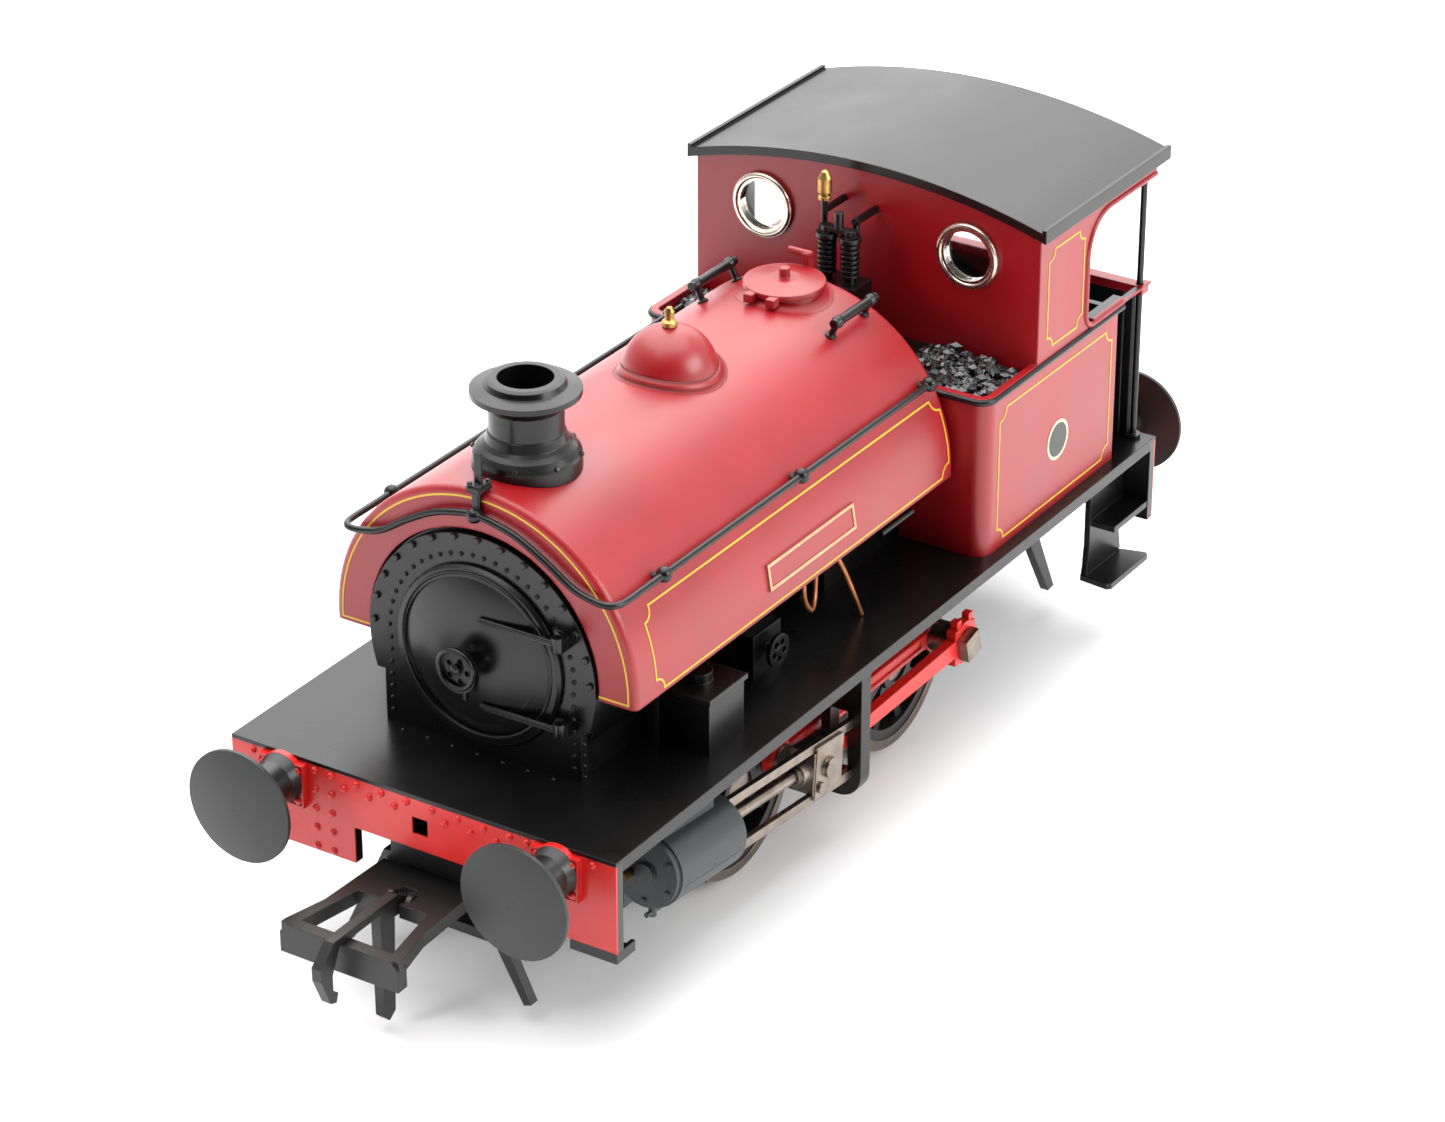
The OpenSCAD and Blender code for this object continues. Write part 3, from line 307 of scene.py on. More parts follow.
def cab_finish():
    """Cab and bunkers: crimson, black inside the cab."""
    red = Paint("cab_paint", CRIMSON, CRIMSON_EDGE_HIGHLIGHT, 0.4, rounding=0.2)
    g = red.g
    side = g.add("ShaderNodeSeparateXYZ", Vector=g.place).outputs["X"]
    reach = g.add("ShaderNodeMath", {"operation": "ABSOLUTE"}, Value=side).outputs["Value"]
    inboard = g.remap(reach, (CAB_SIDE - 0.2) * MM, (CAB_SIDE - 0.18) * MM, 1, 0)
    inside = CAB_FRONT + 0.3
    above_roof = 60
    low = g.times(within(g, "Y", inside, REAR_SHEET), within(g, "Z", 0, REAR_EDGE_TOP))
    high = g.times(within(g, "Y", inside, REAR_SHEET - SHEET), within(g, "Z", REAR_EDGE_TOP, above_roof))
    either = g.add("ShaderNodeMath", {"operation": "MAXIMUM"})
    g.put(either.inputs[0], low)
    g.put(either.inputs[1], high)
    red.over(g.times(inboard, either.outputs["Value"]), BLACK, BLACK_EDGE_HIGHLIGHT)
    return red.finish(gloss=0.6, clear=0.15)


def glazing():
    g = Graph("glazing")
    haze = g.remap(g.noise(0.8), 0.3, 0.7, 0.02, 0.06)
    return g.surface(Base_Color=(0.97, 0.99, 0.99, 1), Roughness=haze, Transmission_Weight=1.0, IOR=1.45)


def coal_finish():
    """Glossy broken coal, some faces brighter than others."""
    g = Graph("coal_gloss")
    facets = g.noise(0.35, 4.0)
    tone = g.mix(facets, (0.002, 0.002, 0.002, 1), (0.012, 0.012, 0.014, 1))
    normal = g.bump(facets, 0.5, 0.05, g.rounded(0.05))
    rough = g.remap(facets, 0.3, 0.7, 0.08, 0.35)
    return g.surface(Base_Color=tone, Roughness=rough, Normal=normal, Coat_Weight=0.6)


def circuit_finish():
    """Green solder mask over a fine glass weave."""
    g = Graph("solder_mask")
    weave = g.add("ShaderNodeTexWave", {"bands_direction": "DIAGONAL"}, Vector=g.place, Scale=1800.0,
                  Distortion=1.0)
    tone = g.mix(weave.outputs["Fac"], (0.008, 0.09, 0.035, 1), (0.012, 0.15, 0.06, 1))
    return g.surface(Base_Color=tone, Roughness=0.3, Coat_Weight=0.3, Normal=g.rounded(0.05))


# The edge colours below, and the second colour given to each paint(), are painted highlights laid along the
# edges.
CRIMSON = (0.27, 0.0016, 0.0045)
CRIMSON_EDGE_HIGHLIGHT = (0.34, 0.004, 0.009)
SIGNAL_RED = (0.6, 0.009, 0.006)
RED_EDGE_HIGHLIGHT = (0.6, 0.03, 0.02)
BLACK = (0.0022, 0.0022, 0.0023)
BLACK_EDGE_HIGHLIGHT = (0.022, 0.022, 0.023)

# In each paint() below, the second colour is its painted edge highlight.
FINISH = {
    "black_satin": paint("black_satin_paint", BLACK, BLACK_EDGE_HIGHLIGHT, 0.29, gloss=0.42),
    "black_plastic": moulding("black_moulding", (0.006, 0.0055, 0.0055), 0.42),
    "cast_black": moulding("black_casting", (0.008, 0.008, 0.0085), 0.45),
    "buffer_black": paint("buffer_blacking", (0.012, 0.0125, 0.013), (0.04, 0.04, 0.04), 0.45, texture=0.2),
    "crimson": paint("crimson_paint", CRIMSON, CRIMSON_EDGE_HIGHLIGHT, 0.4, gloss=0.6, clear=0.15, rounding=0.22),
    "signal_red": paint("signal_red_paint", SIGNAL_RED, RED_EDGE_HIGHLIGHT, 0.36, clear=0.2),
    "brass": metal("turned_brass", (0.5, 0.33, 0.11), (0.24, 0.14, 0.05), 0.34),
    "copper": metal("copper_wire", (0.5, 0.2, 0.085), (0.2, 0.08, 0.035), 0.42),
    "window_rim": metal("plated_rim", (0.7, 0.62, 0.55), (0.5, 0.42, 0.36), 0.22),
    "clear": glazing(),
    "coal": coal_finish(),
    "cylinder_grey": paint("cylinder_lagging", (0.022, 0.027, 0.029), (0.06, 0.065, 0.07), 0.4),
    "bright_steel": metal("bright_steel", (0.33, 0.28, 0.235), (0.2, 0.165, 0.135), 0.3,
                          stretch=(1, 0.06, 1)),
    "wheel_black": paint("wheel_paint", (0.006, 0.0055, 0.0055), (0.03, 0.026, 0.023), 0.42),
    "tyre_steel": metal("tyre_steel", (0.22, 0.18, 0.15), (0.14, 0.11, 0.09), 0.32),
    "circuit_green": circuit_finish(),
}
LINING = paint("lining_yellow", (0.62, 0.38, 0.02), (0.7, 0.46, 0.06), 0.45, rounding=0.02)
BRONZE = metal("plate_border", (0.62, 0.4, 0.24), (0.45, 0.26, 0.15), 0.4, rounding=0.03)
CREAM = paint("cream_ring", (0.55, 0.5, 0.34), (0.6, 0.55, 0.4), 0.5, rounding=0.03)
DISC_GREY = paint("disc_grey", (0.05, 0.05, 0.045), (0.1, 0.1, 0.09), 0.5, rounding=0.03)


def dress_cad_nodes():
    special = {"buffer_housings": housing_finish(), "buffer_beams": beam_finish(), "cab_body": cab_finish()}
    for part in frame["record"]["subparts"]:
        finish = special.get(part["node"], FINISH[part["material_slot"]])
        for slot in bpy.data.objects[part["node"]].material_slots:
            slot.material = finish


# ---------- Mesh drawing ----------

def around(count):
    """Angles of count even steps around a full turn."""
    return [2 * math.pi * i / count for i in range(count)]


def circle(centre, radius, count):
    """Flat points of a circle around centre."""
    return [(centre[0] + radius * math.cos(a), centre[1] + radius * math.sin(a)) for a in around(count)]


def piece(name, mesh, finish, body=ROOT, replaces=(), flat=False):
    """Makes a piece from a bmesh drawn in millimetres, and lets it ride on a body."""
    bmesh.ops.scale(mesh, vec=(MM, MM, MM), verts=mesh.verts)
    bmesh.ops.recalc_face_normals(mesh, faces=mesh.faces)
    data = bpy.data.meshes.new(name)
    mesh.to_mesh(data)
    mesh.free()
    data.materials.append(finish)
    if not flat:
        data.shade_smooth()
        data.set_sharp_from_angle(angle=math.radians(40))
    obj = bpy.data.objects.new(name, data)
    bpy.context.scene.collection.objects.link(obj)
    if replaces:
        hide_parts(*replaces)
    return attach(obj, body)


def bridge(mesh, first, second):
    """Faces between two rings of vertices; a ring of one vertex is a pole."""
    count = max(len(first), len(second))
    if count == 1:
        return
    for i in range(count):
        j = (i + 1) % count
        corners = [first[i % len(first)], first[j % len(first)]]
        corners += [second[j % len(second)], second[i % len(second)]]
        mesh.faces.new(list(dict.fromkeys(corners)))


def add_lathe(mesh, profile, base, axis, steps=16):
    """Turns (radius, along) pairs around axis, which starts at base."""
    turn = Vector(axis).normalized().to_track_quat("Z", "X").to_matrix()
    rings = []
    for radius, along in profile:
        count = steps if radius > 0 else 1
        ring = []
        for angle in around(count):
            local = Vector((radius * math.cos(angle), radius * math.sin(angle), along))
            ring.append(mesh.verts.new(Vector(base) + turn @ local))
        rings.append(ring)
    for first, second in zip(rings, rings[1:]):
        bridge(mesh, first, second)


def add_rivet(mesh, place, normal, radius, height):
    profile = [(radius * math.cos(a), height * math.sin(a)) for a in (0, 0.5, 1.0, 1.3)]
    add_lathe(mesh, [(radius, -0.02)] + profile + [(0, height)], place, normal, 12)


def add_ball(mesh, centre, radius, axis=(0, 0, 1), steps=20):
    rows = 10
    angles = [math.pi * (i / rows - 0.5) for i in range(rows + 1)]
    inner = [(radius * math.cos(a), radius * math.sin(a)) for a in angles[1:-1]]
    add_lathe(mesh, [(0, -radius)] + inner + [(0, radius)], centre, axis, steps)


def add_tube(mesh, points, radius, steps=12, closed=False):
    """A round rod through the points, with closed ends."""
    points = [Vector(p) for p in points]
    count = len(points)
    side = None
    rings = []
    for i, point in enumerate(points):
        before = points[i - 1] if closed or i > 0 else point
        after = points[(i + 1) % count] if closed or i < count - 1 else point
        along = (after - before).normalized()
        if side is None:
            side = along.orthogonal().normalized()
        side = (side - along * side.dot(along)).normalized()
        up = along.cross(side)
        ring = []
        for angle in around(steps):
            ring.append(mesh.verts.new(point + radius * (side * math.cos(angle) + up * math.sin(angle))))
        rings.append(ring)
    for first, second in zip(rings, rings[1:]):
        bridge(mesh, first, second)
    if closed:
        bridge(mesh, rings[-1], rings[0])
    else:
        mesh.faces.new(rings[0][::-1])
        mesh.faces.new(rings[-1])


def smooth_path(points, per_span=6):
    """Points along a Catmull-Rom curve through the given ones."""
    points = [Vector(p) for p in points]
    ends = [2 * points[0] - points[1]] + points + [2 * points[-1] - points[-2]]
    path = []
    for a, b, c, d in zip(ends, ends[1:], ends[2:], ends[3:]):
        for k in range(per_span):
            t = k / per_span
            path.append(0.5 * (2 * b + (c - a) * t + (2 * a - 5 * b + 4 * c - d) * t * t
                               + (3 * b - a - 3 * c + d) * t ** 3))
    return path + [points[-1]]


def notched_panel(low, high, notch):
    """Outline of a rectangle whose corners are scooped by quarter circles."""
    outline = []
    corners = ((low[0], low[1], 90), (high[0], low[1], 180), (high[0], high[1], 270), (low[0], high[1], 0))
    for cx, cy, start in corners:
        for k in range(7):
            angle = math.radians(start - 15 * k)
            outline.append((cx + notch * math.cos(angle), cy + notch * math.sin(angle)))
    return outline


def refined(outline, step, closed):
    """The outline with extra points, none further apart than step."""
    pairs = list(zip(outline, outline[1:] + outline[:1]))
    points = []
    for a, b in pairs if closed else pairs[:-1]:
        count = max(1, math.ceil(math.dist(a, b) / step))
        points += [(a[0] + (b[0] - a[0]) * k / count, a[1] + (b[1] - a[1]) * k / count) for k in range(count)]
    return points if closed else points + [outline[-1]]


def add_stripe(mesh, outline, place, width=LINE_W, height=0.025, closed=True, step=50.0):
    """A painted line along a flat outline; place(u, v, h) lays it on a surface, h above it."""
    points = refined(outline, step, closed)
    count = len(points)
    rings = []
    for i, (u, v) in enumerate(points):
        before = points[i - 1] if closed or i > 0 else points[i]
        after = points[(i + 1) % count] if closed or i < count - 1 else points[i]
        first = Vector((u - before[0], v - before[1]))
        second = Vector((after[0] - u, after[1] - v))
        along = (first.normalized() + second.normalized()).normalized()
        shorter = max(0.5, along.dot(second.normalized() if second.length else first.normalized()))
        across = Vector((-along.y, along.x)) * (width / 2 / shorter)
        corners = [(1, -height), (1, height), (-1, height), (-1, -height)]
        rings.append([mesh.verts.new(place(u + s * across.x, v + s * across.y, h)) for s, h in corners])
    for first, second in zip(rings, rings[1:]):
        bridge(mesh, first, second)
    if closed:
        bridge(mesh, rings[-1], rings[0])
    else:
        mesh.faces.new(rings[0][::-1])
        mesh.faces.new(rings[-1])


def tank_surface(side):
    """Lays (along, up the wall from the boiler centre, above) on the tank's flank."""
    def place(u, v, h):
        angle = max(v, 0) / TANK_R
        low = min(v, 0)
        x = side * (TANK_R + h) * math.cos(angle)
        return Vector((x, u, BOILER_Z + low + (TANK_R + h) * math.sin(angle)))
    return place


def flat_side(side, x):
    return lambda u, v, h: Vector((side * (x + h), u, v))


def flat_end(y, outwards):
    return lambda u, v, h: Vector((u, y + outwards * h, v))


# ---------- Painted lines, plates and discs ----------

def add_tank_lining(mesh):
    front, rear, foot = -27.7, 11.35, -0.3
    top = TANK_R * math.radians(26.5)
    for side in SIDES:
        outline = notched_panel((front, foot), (rear, top), 0.95)
        add_stripe(mesh, outline, tank_surface(side), step=0.8)
    ring_r = TANK_R - 0.62
    low = tank_low.z + 0.32 - BOILER_Z
    arc = [(ring_r * math.cos(a), BOILER_Z + ring_r * math.sin(a)) for a in
           [math.radians(i) for i in range(0, 181, 3)]]
    ends = [(SMOKEBOX_R + 0.1, BOILER_Z + low), (ring_r, BOILER_Z + low)]
    path = ends + arc + [(-x, z) for x, z in reversed(ends)]
    add_stripe(mesh, path, flat_end(TANK_FRONT, -1), closed=False)


def add_cab_lining(mesh):
    for side in SIDES:
        place = flat_side(side, CAB_SIDE)
        add_stripe(mesh, notched_panel((21.2, 29.35), (26.65, 37.2), 0.85), place)
        add_stripe(mesh, notched_panel((14.4, 16.2), (31.7, 27.0), 0.95), place)


def make_lining():
    mesh = bmesh.new()
    add_tank_lining(mesh)
    add_cab_lining(mesh)
    piece("yellow_lining", mesh, LINING)


def plate_surface(side, angle):
    """Lays (along, across, above) on the name plate's flat face."""
    reach = TANK_R + 0.1
    def place(u, v, h):
        x = (reach + h) * math.cos(angle) - v * math.sin(angle)
        z = (reach + h) * math.sin(angle) + v * math.cos(angle)
        return Vector((side * x, u, BOILER_Z + z))
    return place


def make_plate_borders():
    """The name plates carry a plain border and an empty field."""
    mesh = bmesh.new()
    inset = 0.13
    front, rear = -13.5 + inset, -2 - inset
    half = 1 - inset
    corners = [(front, -half), (rear, -half), (rear, half), (front, half)]
    for side in SIDES:
        add_stripe(mesh, corners, plate_surface(side, math.radians(9.1)), width=0.22, height=0.06)
    piece("plate_borders", mesh, BRONZE)


def add_disc(mesh, place, centre, radius, height):
    """A thin disc with a softened rim, laid by place."""
    rings = []
    for share, h in ((1, -0.02), (1, height * 0.6), (0.96, height), (0.5, height)):
        rings.append([mesh.verts.new(place(u, v, h)) for u, v in circle(centre, radius * share, 48)])
    rings.append([mesh.verts.new(place(centre[0], centre[1], height))])
    for first, second in zip(rings, rings[1:]):
        bridge(mesh, first, second)


def make_bunker_discs():
    """A blank disc with a cream ring on each bunker."""
    centre = (23.5, 20.95)
    radius = 1.5
    discs, rings = bmesh.new(), bmesh.new()
    for side in SIDES:
        place = flat_side(side, CAB_SIDE)
        add_disc(discs, place, centre, radius, 0.02)
        add_stripe(rings, circle(centre, radius, 48), place, width=0.26, height=0.035)
    piece("bunker_discs", discs, DISC_GREY)
    piece("bunker_disc_rings", rings, CREAM)


# ---------- Rivets and bolts ----------

def add_bolt(mesh, place, normal, radius, height):
    """A hexagon head with a chamfered top."""
    profile = [(radius, -0.02), (radius, height * 0.75), (radius * 0.8, height), (0, height)]
    add_lathe(mesh, profile, place, normal, 6)


def make_beam_rivets():
    mesh = bmesh.new()
    for end in SIDES:
        y = end * beam_high.y
        top, second = 14.8, 14.13
        spots = [(side * x, 14.82 - 1.5 * row) for side in SIDES for x in (7.45, 8.85) for row in range(5)]
        spots += [(side * 1.06 * i, top if i % 2 else second) for side in SIDES for i in range(1, 7)]
        spots += [(side * 14.15, top) for side in SIDES]
        for x, z in spots:
            add_rivet(mesh, (x, y, z), (0, end, 0), 0.28, 0.24)
    piece("beam_rivets", mesh, FINISH["signal_red"])


def make_buffer_bases():
    """Raised rim and four bolts on each buffer's base plate."""
    mesh = bmesh.new()
    half, low, high = 1.82, -1.82, 1.32
    for end in SIDES:
        y = end * (beam_high.y + 0.5)
        for side in SIDES:
            x = side * BUFFER_X
            rim = [(x - half, BUFFER_Z + low), (x + half, BUFFER_Z + low), (x + half, BUFFER_Z + high),
                   (x - half, BUFFER_Z + high)]
            add_stripe(mesh, rim, flat_end(y, end), width=0.16, height=0.07)
            for dx in (-1.42, 1.42):
                for dz in (low + 0.4, high - 0.4):
                    add_rivet(mesh, (x + dx, y, BUFFER_Z + dz), (0, end, 0), 0.3, 0.24)
    piece("buffer_base_bolts", mesh, FINISH["signal_red"])


def make_buffer_springs():
    """A coil spring behind each buffer head."""
    coil_r, wire_r, turns, travel = 0.78, 0.13, 3, 1.0
    inner, outer = beam_high.y + 0.7, beam_high.y + 2.25
    steps = 20 * turns
    for end, end_name in ((-1, "front"), (1, "rear")):
        for side, side_name in ((1, "left"), (-1, "right")):
            mesh = bmesh.new()
            coil = []
            for i in range(steps + 1):
                angle = 2 * math.pi * turns * i / steps
                y = inner + wire_r + (outer - inner - 2 * wire_r) * i / steps
                x = side * BUFFER_X + coil_r * math.cos(angle)
                coil.append((x, end * y, BUFFER_Z + coil_r * math.sin(angle)))
            add_tube(mesh, coil, wire_r, 8)
            name = f"{end_name}_{side_name}"
            replaced = ("buffer_springs",) if name == "front_left" else ()
            spring = piece("buffer_spring_" + name, mesh, FINISH["bright_steel"],
                           replaces=replaced)
            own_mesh(spring)


def make_smokebox_rivets():
    mesh = bmesh.new()
    front = SMOKEBOX_FRONT
    ahead = (0, -1, 0)
    bolt_ring, rivet_ring = 8.95, 7.68
    for i in range(15):
        angle = math.radians(2.5 + 12.5 * i)
        spot = (bolt_ring * math.cos(angle), front, SMOKEBOX_Z + bolt_ring * math.sin(angle))
        add_bolt(mesh, spot, ahead, 0.27, 0.24)
    for i in range(26):
        angle = math.radians(2.5 + 7.0 * i)
        spot = (rivet_ring * math.cos(angle), front, SMOKEBOX_Z + rivet_ring * math.sin(angle))
        add_rivet(mesh, spot, ahead, 0.18, 0.18)
    for side in SIDES:
        for i in range(7):
            add_rivet(mesh, (side * 7.6, front, SMOKEBOX_Z - 0.65 - 0.95 * i), ahead, 0.18, 0.18)
        for i in range(5):
            add_rivet(mesh, (side * 8.2, front + 0.3, 19.2 - 0.85 * i), (side, 0, 0), 0.16, 0.14)
    for i in range(7):
        add_rivet(mesh, (2.1 * (i - 3), front - 0.7, PLATE_TOP), (0, 0, 1), 0.17, 0.14)
    piece("smokebox_rivets", mesh, FINISH["black_satin"])


def make_door_dish():
    """The door's dished plate, smoothly curved up to its rim, and the raised ring around it."""
    mesh = bmesh.new()
    dish_r, depth, ring_r = 5.9, 0.85, 6.15
    profile = [(dish_r * k / 24, 0.05 - depth * (k / 24) ** 2.35) for k in range(25)]
    add_lathe(mesh, profile, (0, DOOR_FACE, DOOR_Z), (0, -1, 0), 96)
    ring = [(x, DOOR_FACE + 0.68, z) for x, z in circle((0, DOOR_Z), ring_r, 96)]
    add_tube(mesh, ring, 0.13, 10, closed=True)
    piece("door_dish", mesh, FINISH["black_satin"])


def make_door_furniture():
    """Round hinge straps, knuckles and the handwheel's rim and hub."""
    mesh = bmesh.new()
    front = DOOR_FACE
    wheel_y, wheel_r = -33.4, 1.42
    for dz in (-3.3, 3.3):
        z = DOOR_Z + dz
        strap = [(0.8, front, z), (1.2, front, z), (6.6, front + 0.05, z), (7.2, front + 0.05, z)]
        add_tube(mesh, strap, 0.17)
        add_lathe(mesh, [(0, 0), (0.4, 0), (0.42, 0.1), (0.42, 0.95), (0.4, 1.05), (0, 1.05)],
                  (7.25, front - 0.02, z - 0.52), (0, 0, 1))
    rim = [(x, wheel_y, z) for x, z in circle((0, DOOR_Z), wheel_r, 48)]
    add_tube(mesh, rim, 0.2, 10, closed=True)
    hub = [(0, 0.25), (0.2, 0.24), (0.36, 0.12), (0.36, -0.2)]
    add_lathe(mesh, hub, (0, wheel_y, DOOR_Z), (0, -1, 0), 20)
    piece("door_furniture", mesh, FINISH["black_satin"])


def make_chimney_bolts():
    mesh = bmesh.new()
    centre = (chimney_low + chimney_high) / 2
    flange_r, flange_z = 3.72, 36.05
    for i in range(8):
        angle = math.radians(45 * i + 22.5)
        out = Vector((math.cos(angle), math.sin(angle), 0))
        spot = Vector((centre.x, centre.y, flange_z)) + out * flange_r
        add_bolt(mesh, spot, out + Vector((0, 0, 0.7)), 0.2, 0.18)
    piece("chimney_bolts", mesh, FINISH["black_satin"])


# ---------- Tank details ----------

def tank_top(x):
    return BOILER_Z + math.sqrt(TANK_R ** 2 - x ** 2)


def add_fillet(mesh, y, radius, rise, run):
    """A hollow fillet between an upright cylinder and the tank's top."""
    rings = []
    for k in range(9):
        t = k / 8 * math.pi / 2
        r = radius + run * (1 - math.cos(t))
        lift = rise * (1 - math.sin(t)) + 0.01
        ring = []
        for x, ring_y in circle((0, y), r, 96):
            ring.append(mesh.verts.new((x, ring_y, tank_top(x) + lift)))
        rings.append(ring)
    rings.append([mesh.verts.new(v.co - Vector((0, 0, 0.06))) for v in rings[-1]])
    rings.append([mesh.verts.new(v.co - Vector((0, 0, 0.4))) for v in rings[0]])
    for first, second in zip(rings, rings[1:] + rings[:1]):
        bridge(mesh, first, second)


def make_tank_fillets():
    mesh = bmesh.new()
    add_fillet(mesh, DOME_Y, DOME_R - 0.02, 0.6, 0.65)
    add_fillet(mesh, FILLER_Y, FILLER_R - 0.02, 0.42, 0.9)
    piece("tank_fillets", mesh, FINISH["crimson"])


# ---------- Wires, pipes and beading ----------

RAIL_X, RAIL_Y, RAIL_Z = 11.3, -30.75, 29.9
GRAB_X, GRAB_Z = 6.1, 35.3
KNOB_Z = 33.72


def add_knob(mesh, x, y, z, ball, stem):
    """A ball on the rail, on a collared stem that stands square on the tank."""
    out = Vector((x, 0, z - BOILER_Z))
    foot = Vector((0, y, BOILER_Z)) + out.normalized() * (TANK_R + 0.01)
    reach = out.length - TANK_R
    add_ball(mesh, (x, y, z), ball, (0, 1, 0))
    add_lathe(mesh, [(0, 0), (0.42, 0), (0.42, 0.12), (stem, 0.2), (stem, reach), (0, reach)], foot, out)


def make_handrails():
    mesh = bmesh.new()
    y = RAIL_Y
    arch = [(0, y, 33.8), (1.2, y, 33.65), (3.3, y, 33.1), (5.6, y, 31.9), (7.8, y, 30.5), (9.4, y, 30.02),
            (10.6, y, 29.95), (11.15, -30.2, 29.92), (RAIL_X, -29.3, RAIL_Z), (RAIL_X, -28, RAIL_Z)]
    left = smooth_path(arch) + [Vector((RAIL_X, 12, RAIL_Z))]
    right = [Vector((-p.x, p.y, p.z)) for p in left]
    add_tube(mesh, right[:0:-1] + left, 0.25, 14)
    for side in SIDES:
        for knob_y in (-24.9, -7.4, 10.3):
            add_knob(mesh, side * RAIL_X, knob_y, RAIL_Z, 0.58, 0.26)
        add_tube(mesh, [(side * GRAB_X, grab_y, GRAB_Z) for grab_y in (5.3, 5.4, 11, 11.1)], 0.36)
        for knob_y in (5.9, 10.5):
            add_knob(mesh, side * GRAB_X, knob_y, GRAB_Z, 0.48, 0.25)
    add_ball(mesh, (0, y, KNOB_Z), 0.55, (1, 0, 0))
    stem = [(0, 0), (0.4, 0), (0.4, 0.1), (0.22, 0.2), (0.22, 0.5), (0, 0.5)]
    add_lathe(mesh, stem, (0, TANK_FRONT - 0.02, KNOB_Z), (0, -1, 0))
    add_lamp_bracket(mesh)
    piece("handrail_wires", mesh, FINISH["black_satin"], replaces=("handrails",))


def add_block(mesh, low, high, chamfer=0.06):
    """A box with chamfered edges."""
    low, high = Vector(low), Vector(high)
    made = bmesh.ops.create_cube(mesh, size=1.0)["verts"]
    for v in made:
        v.co = Vector([(l + h) / 2 + c * (h - l) for l, h, c in zip(low, high, v.co)])
    edges = list({e for v in made for e in v.link_edges})
    bmesh.ops.bevel(mesh, geom=edges, offset=chamfer, segments=2, affect="EDGES")


def add_lamp_bracket(mesh):
    top = TANK_TOP
    add_block(mesh, (-0.65, -30.9, top + 0.02), (0.65, -29.4, top + 0.62), 0.15)
    add_block(mesh, (-0.3, -30.3, top + 0.3), (0.3, -30, top + 2.8))
    add_block(mesh, (-0.3, -30.65, 34), (0.3, TANK_FRONT - 0.02, top + 0.3), 0.1)
    for x, y in ((-0.4, -30.65), (0.4, -30.65), (-0.4, -29.6), (0.4, -29.6)):
        add_bolt(mesh, (x, y, top + 0.62), (0, 0, 1), 0.2, 0.18)


def make_pipes():
    mesh = bmesh.new()
    floor = PLATE_TOP + 0.1
    for side in SIDES:
        loop = [(11, -6.6, 22), (11, -6.4, 19.6), (11, -5.5, 18.3), (10.6, -4.4, 18.6), (10.2, -3.6, 20.4)]
        drop = [(10.4, -1.8, 21.6), (11.1, -1.3, 19.8), (11.5, -0.5, 17.6), (11.8, 0.2, floor)]
        for points in (loop, drop):
            add_tube(mesh, smooth_path([(side * x, y, z) for x, y, z in points]), 0.22)
    piece("copper_pipe_runs", mesh, FINISH["copper"], replaces=("copper_pipes",))


def make_bunker_beading():
    mesh = bmesh.new()
    z = BUNKER_TOP - 0.28
    out = CAB_SIDE
    corner = Vector((out - BUNKER_CORNER, BUNKER_FRONT + BUNKER_CORNER, z))
    for side in SIDES:
        path = [Vector((out, 33.3, z)), Vector((out, 20.0, z))]
        for k in range(9):
            angle = math.radians(90 * k / 8)
            path.append(corner + BUNKER_CORNER * Vector((math.cos(angle), -math.sin(angle), 0)))
        path.append(Vector((7.8, BUNKER_FRONT, z)))
        add_tube(mesh, [(side * p.x, p.y, p.z) for p in path], 0.26, 10)
    piece("bunker_beading", mesh, FINISH["black_satin"])


def make_rear_sheet_edges():
    """Carries the cab's rear sheet out to the pillars."""
    mesh = bmesh.new()
    for side in SIDES:
        inner, outer = sorted((side * 13.3, side * 14.2))
        low = (inner, REAR_SHEET - 0.28, PLATE_TOP + 0.02)
        add_block(mesh, low, (outer, REAR_SHEET + 0.18, REAR_EDGE_TOP))
    cab_paint = bpy.data.objects["cab_body"].material_slots[0].material
    piece("rear_sheet_edges", mesh, cab_paint)


def make_doorway_beading():
    mesh = bmesh.new()
    foot_r, head_r = 1.2, 3.2
    foot_turn = [math.radians(15 * k) for k in range(7)]
    head_turn = [math.radians(10 * k) for k in range(10)]
    path = [(33.2, 28.62), (28.5, 28.6)]
    path += [(28.5 - foot_r * math.sin(a), 29.8 - foot_r * math.cos(a)) for a in foot_turn]
    path += [(30.5 - head_r * math.cos(a), 34.4 + head_r * math.sin(a)) for a in head_turn]
    path += [(37.9, 37.6)]
    for side in SIDES:
        add_tube(mesh, [(side * (CAB_SIDE - 0.05), y, z) for y, z in path], 0.24, 10)
    piece("doorway_beading", mesh, FINISH["crimson"])


def make_window_bezels():
    """Rounded bright ring on each front window's rim."""
    mesh = bmesh.new()
    window_x, ring_r = 8.95, 2.36
    z = (rim_low.z + rim_high.z) / 2
    for side in SIDES:
        ring = [(x, rim_low.y + 0.08, ring_z) for x, ring_z in circle((side * window_x, z), ring_r, 64)]
        add_tube(mesh, ring, 0.22, 12, closed=True)
    piece("window_bezels", mesh, FINISH["window_rim"])


# ---------- Coal ----------

def make_coal():
    """Broken lumps heaped on each bunker."""
    chance = random.Random(7)
    lumps = 360
    for side, name in ((1, "coal_left"), (-1, "coal_right")):
        mesh = bmesh.new()
        low = Vector((6.2, coal_low.y + 0.1, 0))
        high = Vector((14.2, coal_high.y - 0.35, 0))
        for _ in range(lumps):
            x = chance.uniform(low.x, high.x)
            y = chance.uniform(low.y, high.y)
            heap = math.sin(math.pi * (x - low.x) / (high.x - low.x)) * 0.4
            rest = 28.15 if x < 8.6 else 27.8
            centre = Vector((side * x, y, rest + heap + chance.uniform(-0.3, 0.12)))
            add_lump(mesh, centre, chance.uniform(0.28, 0.55), chance)
        replaced = ("coal_load",) if side == 1 else ()
        piece(name, mesh, FINISH["coal"], replaces=replaced, flat=True)


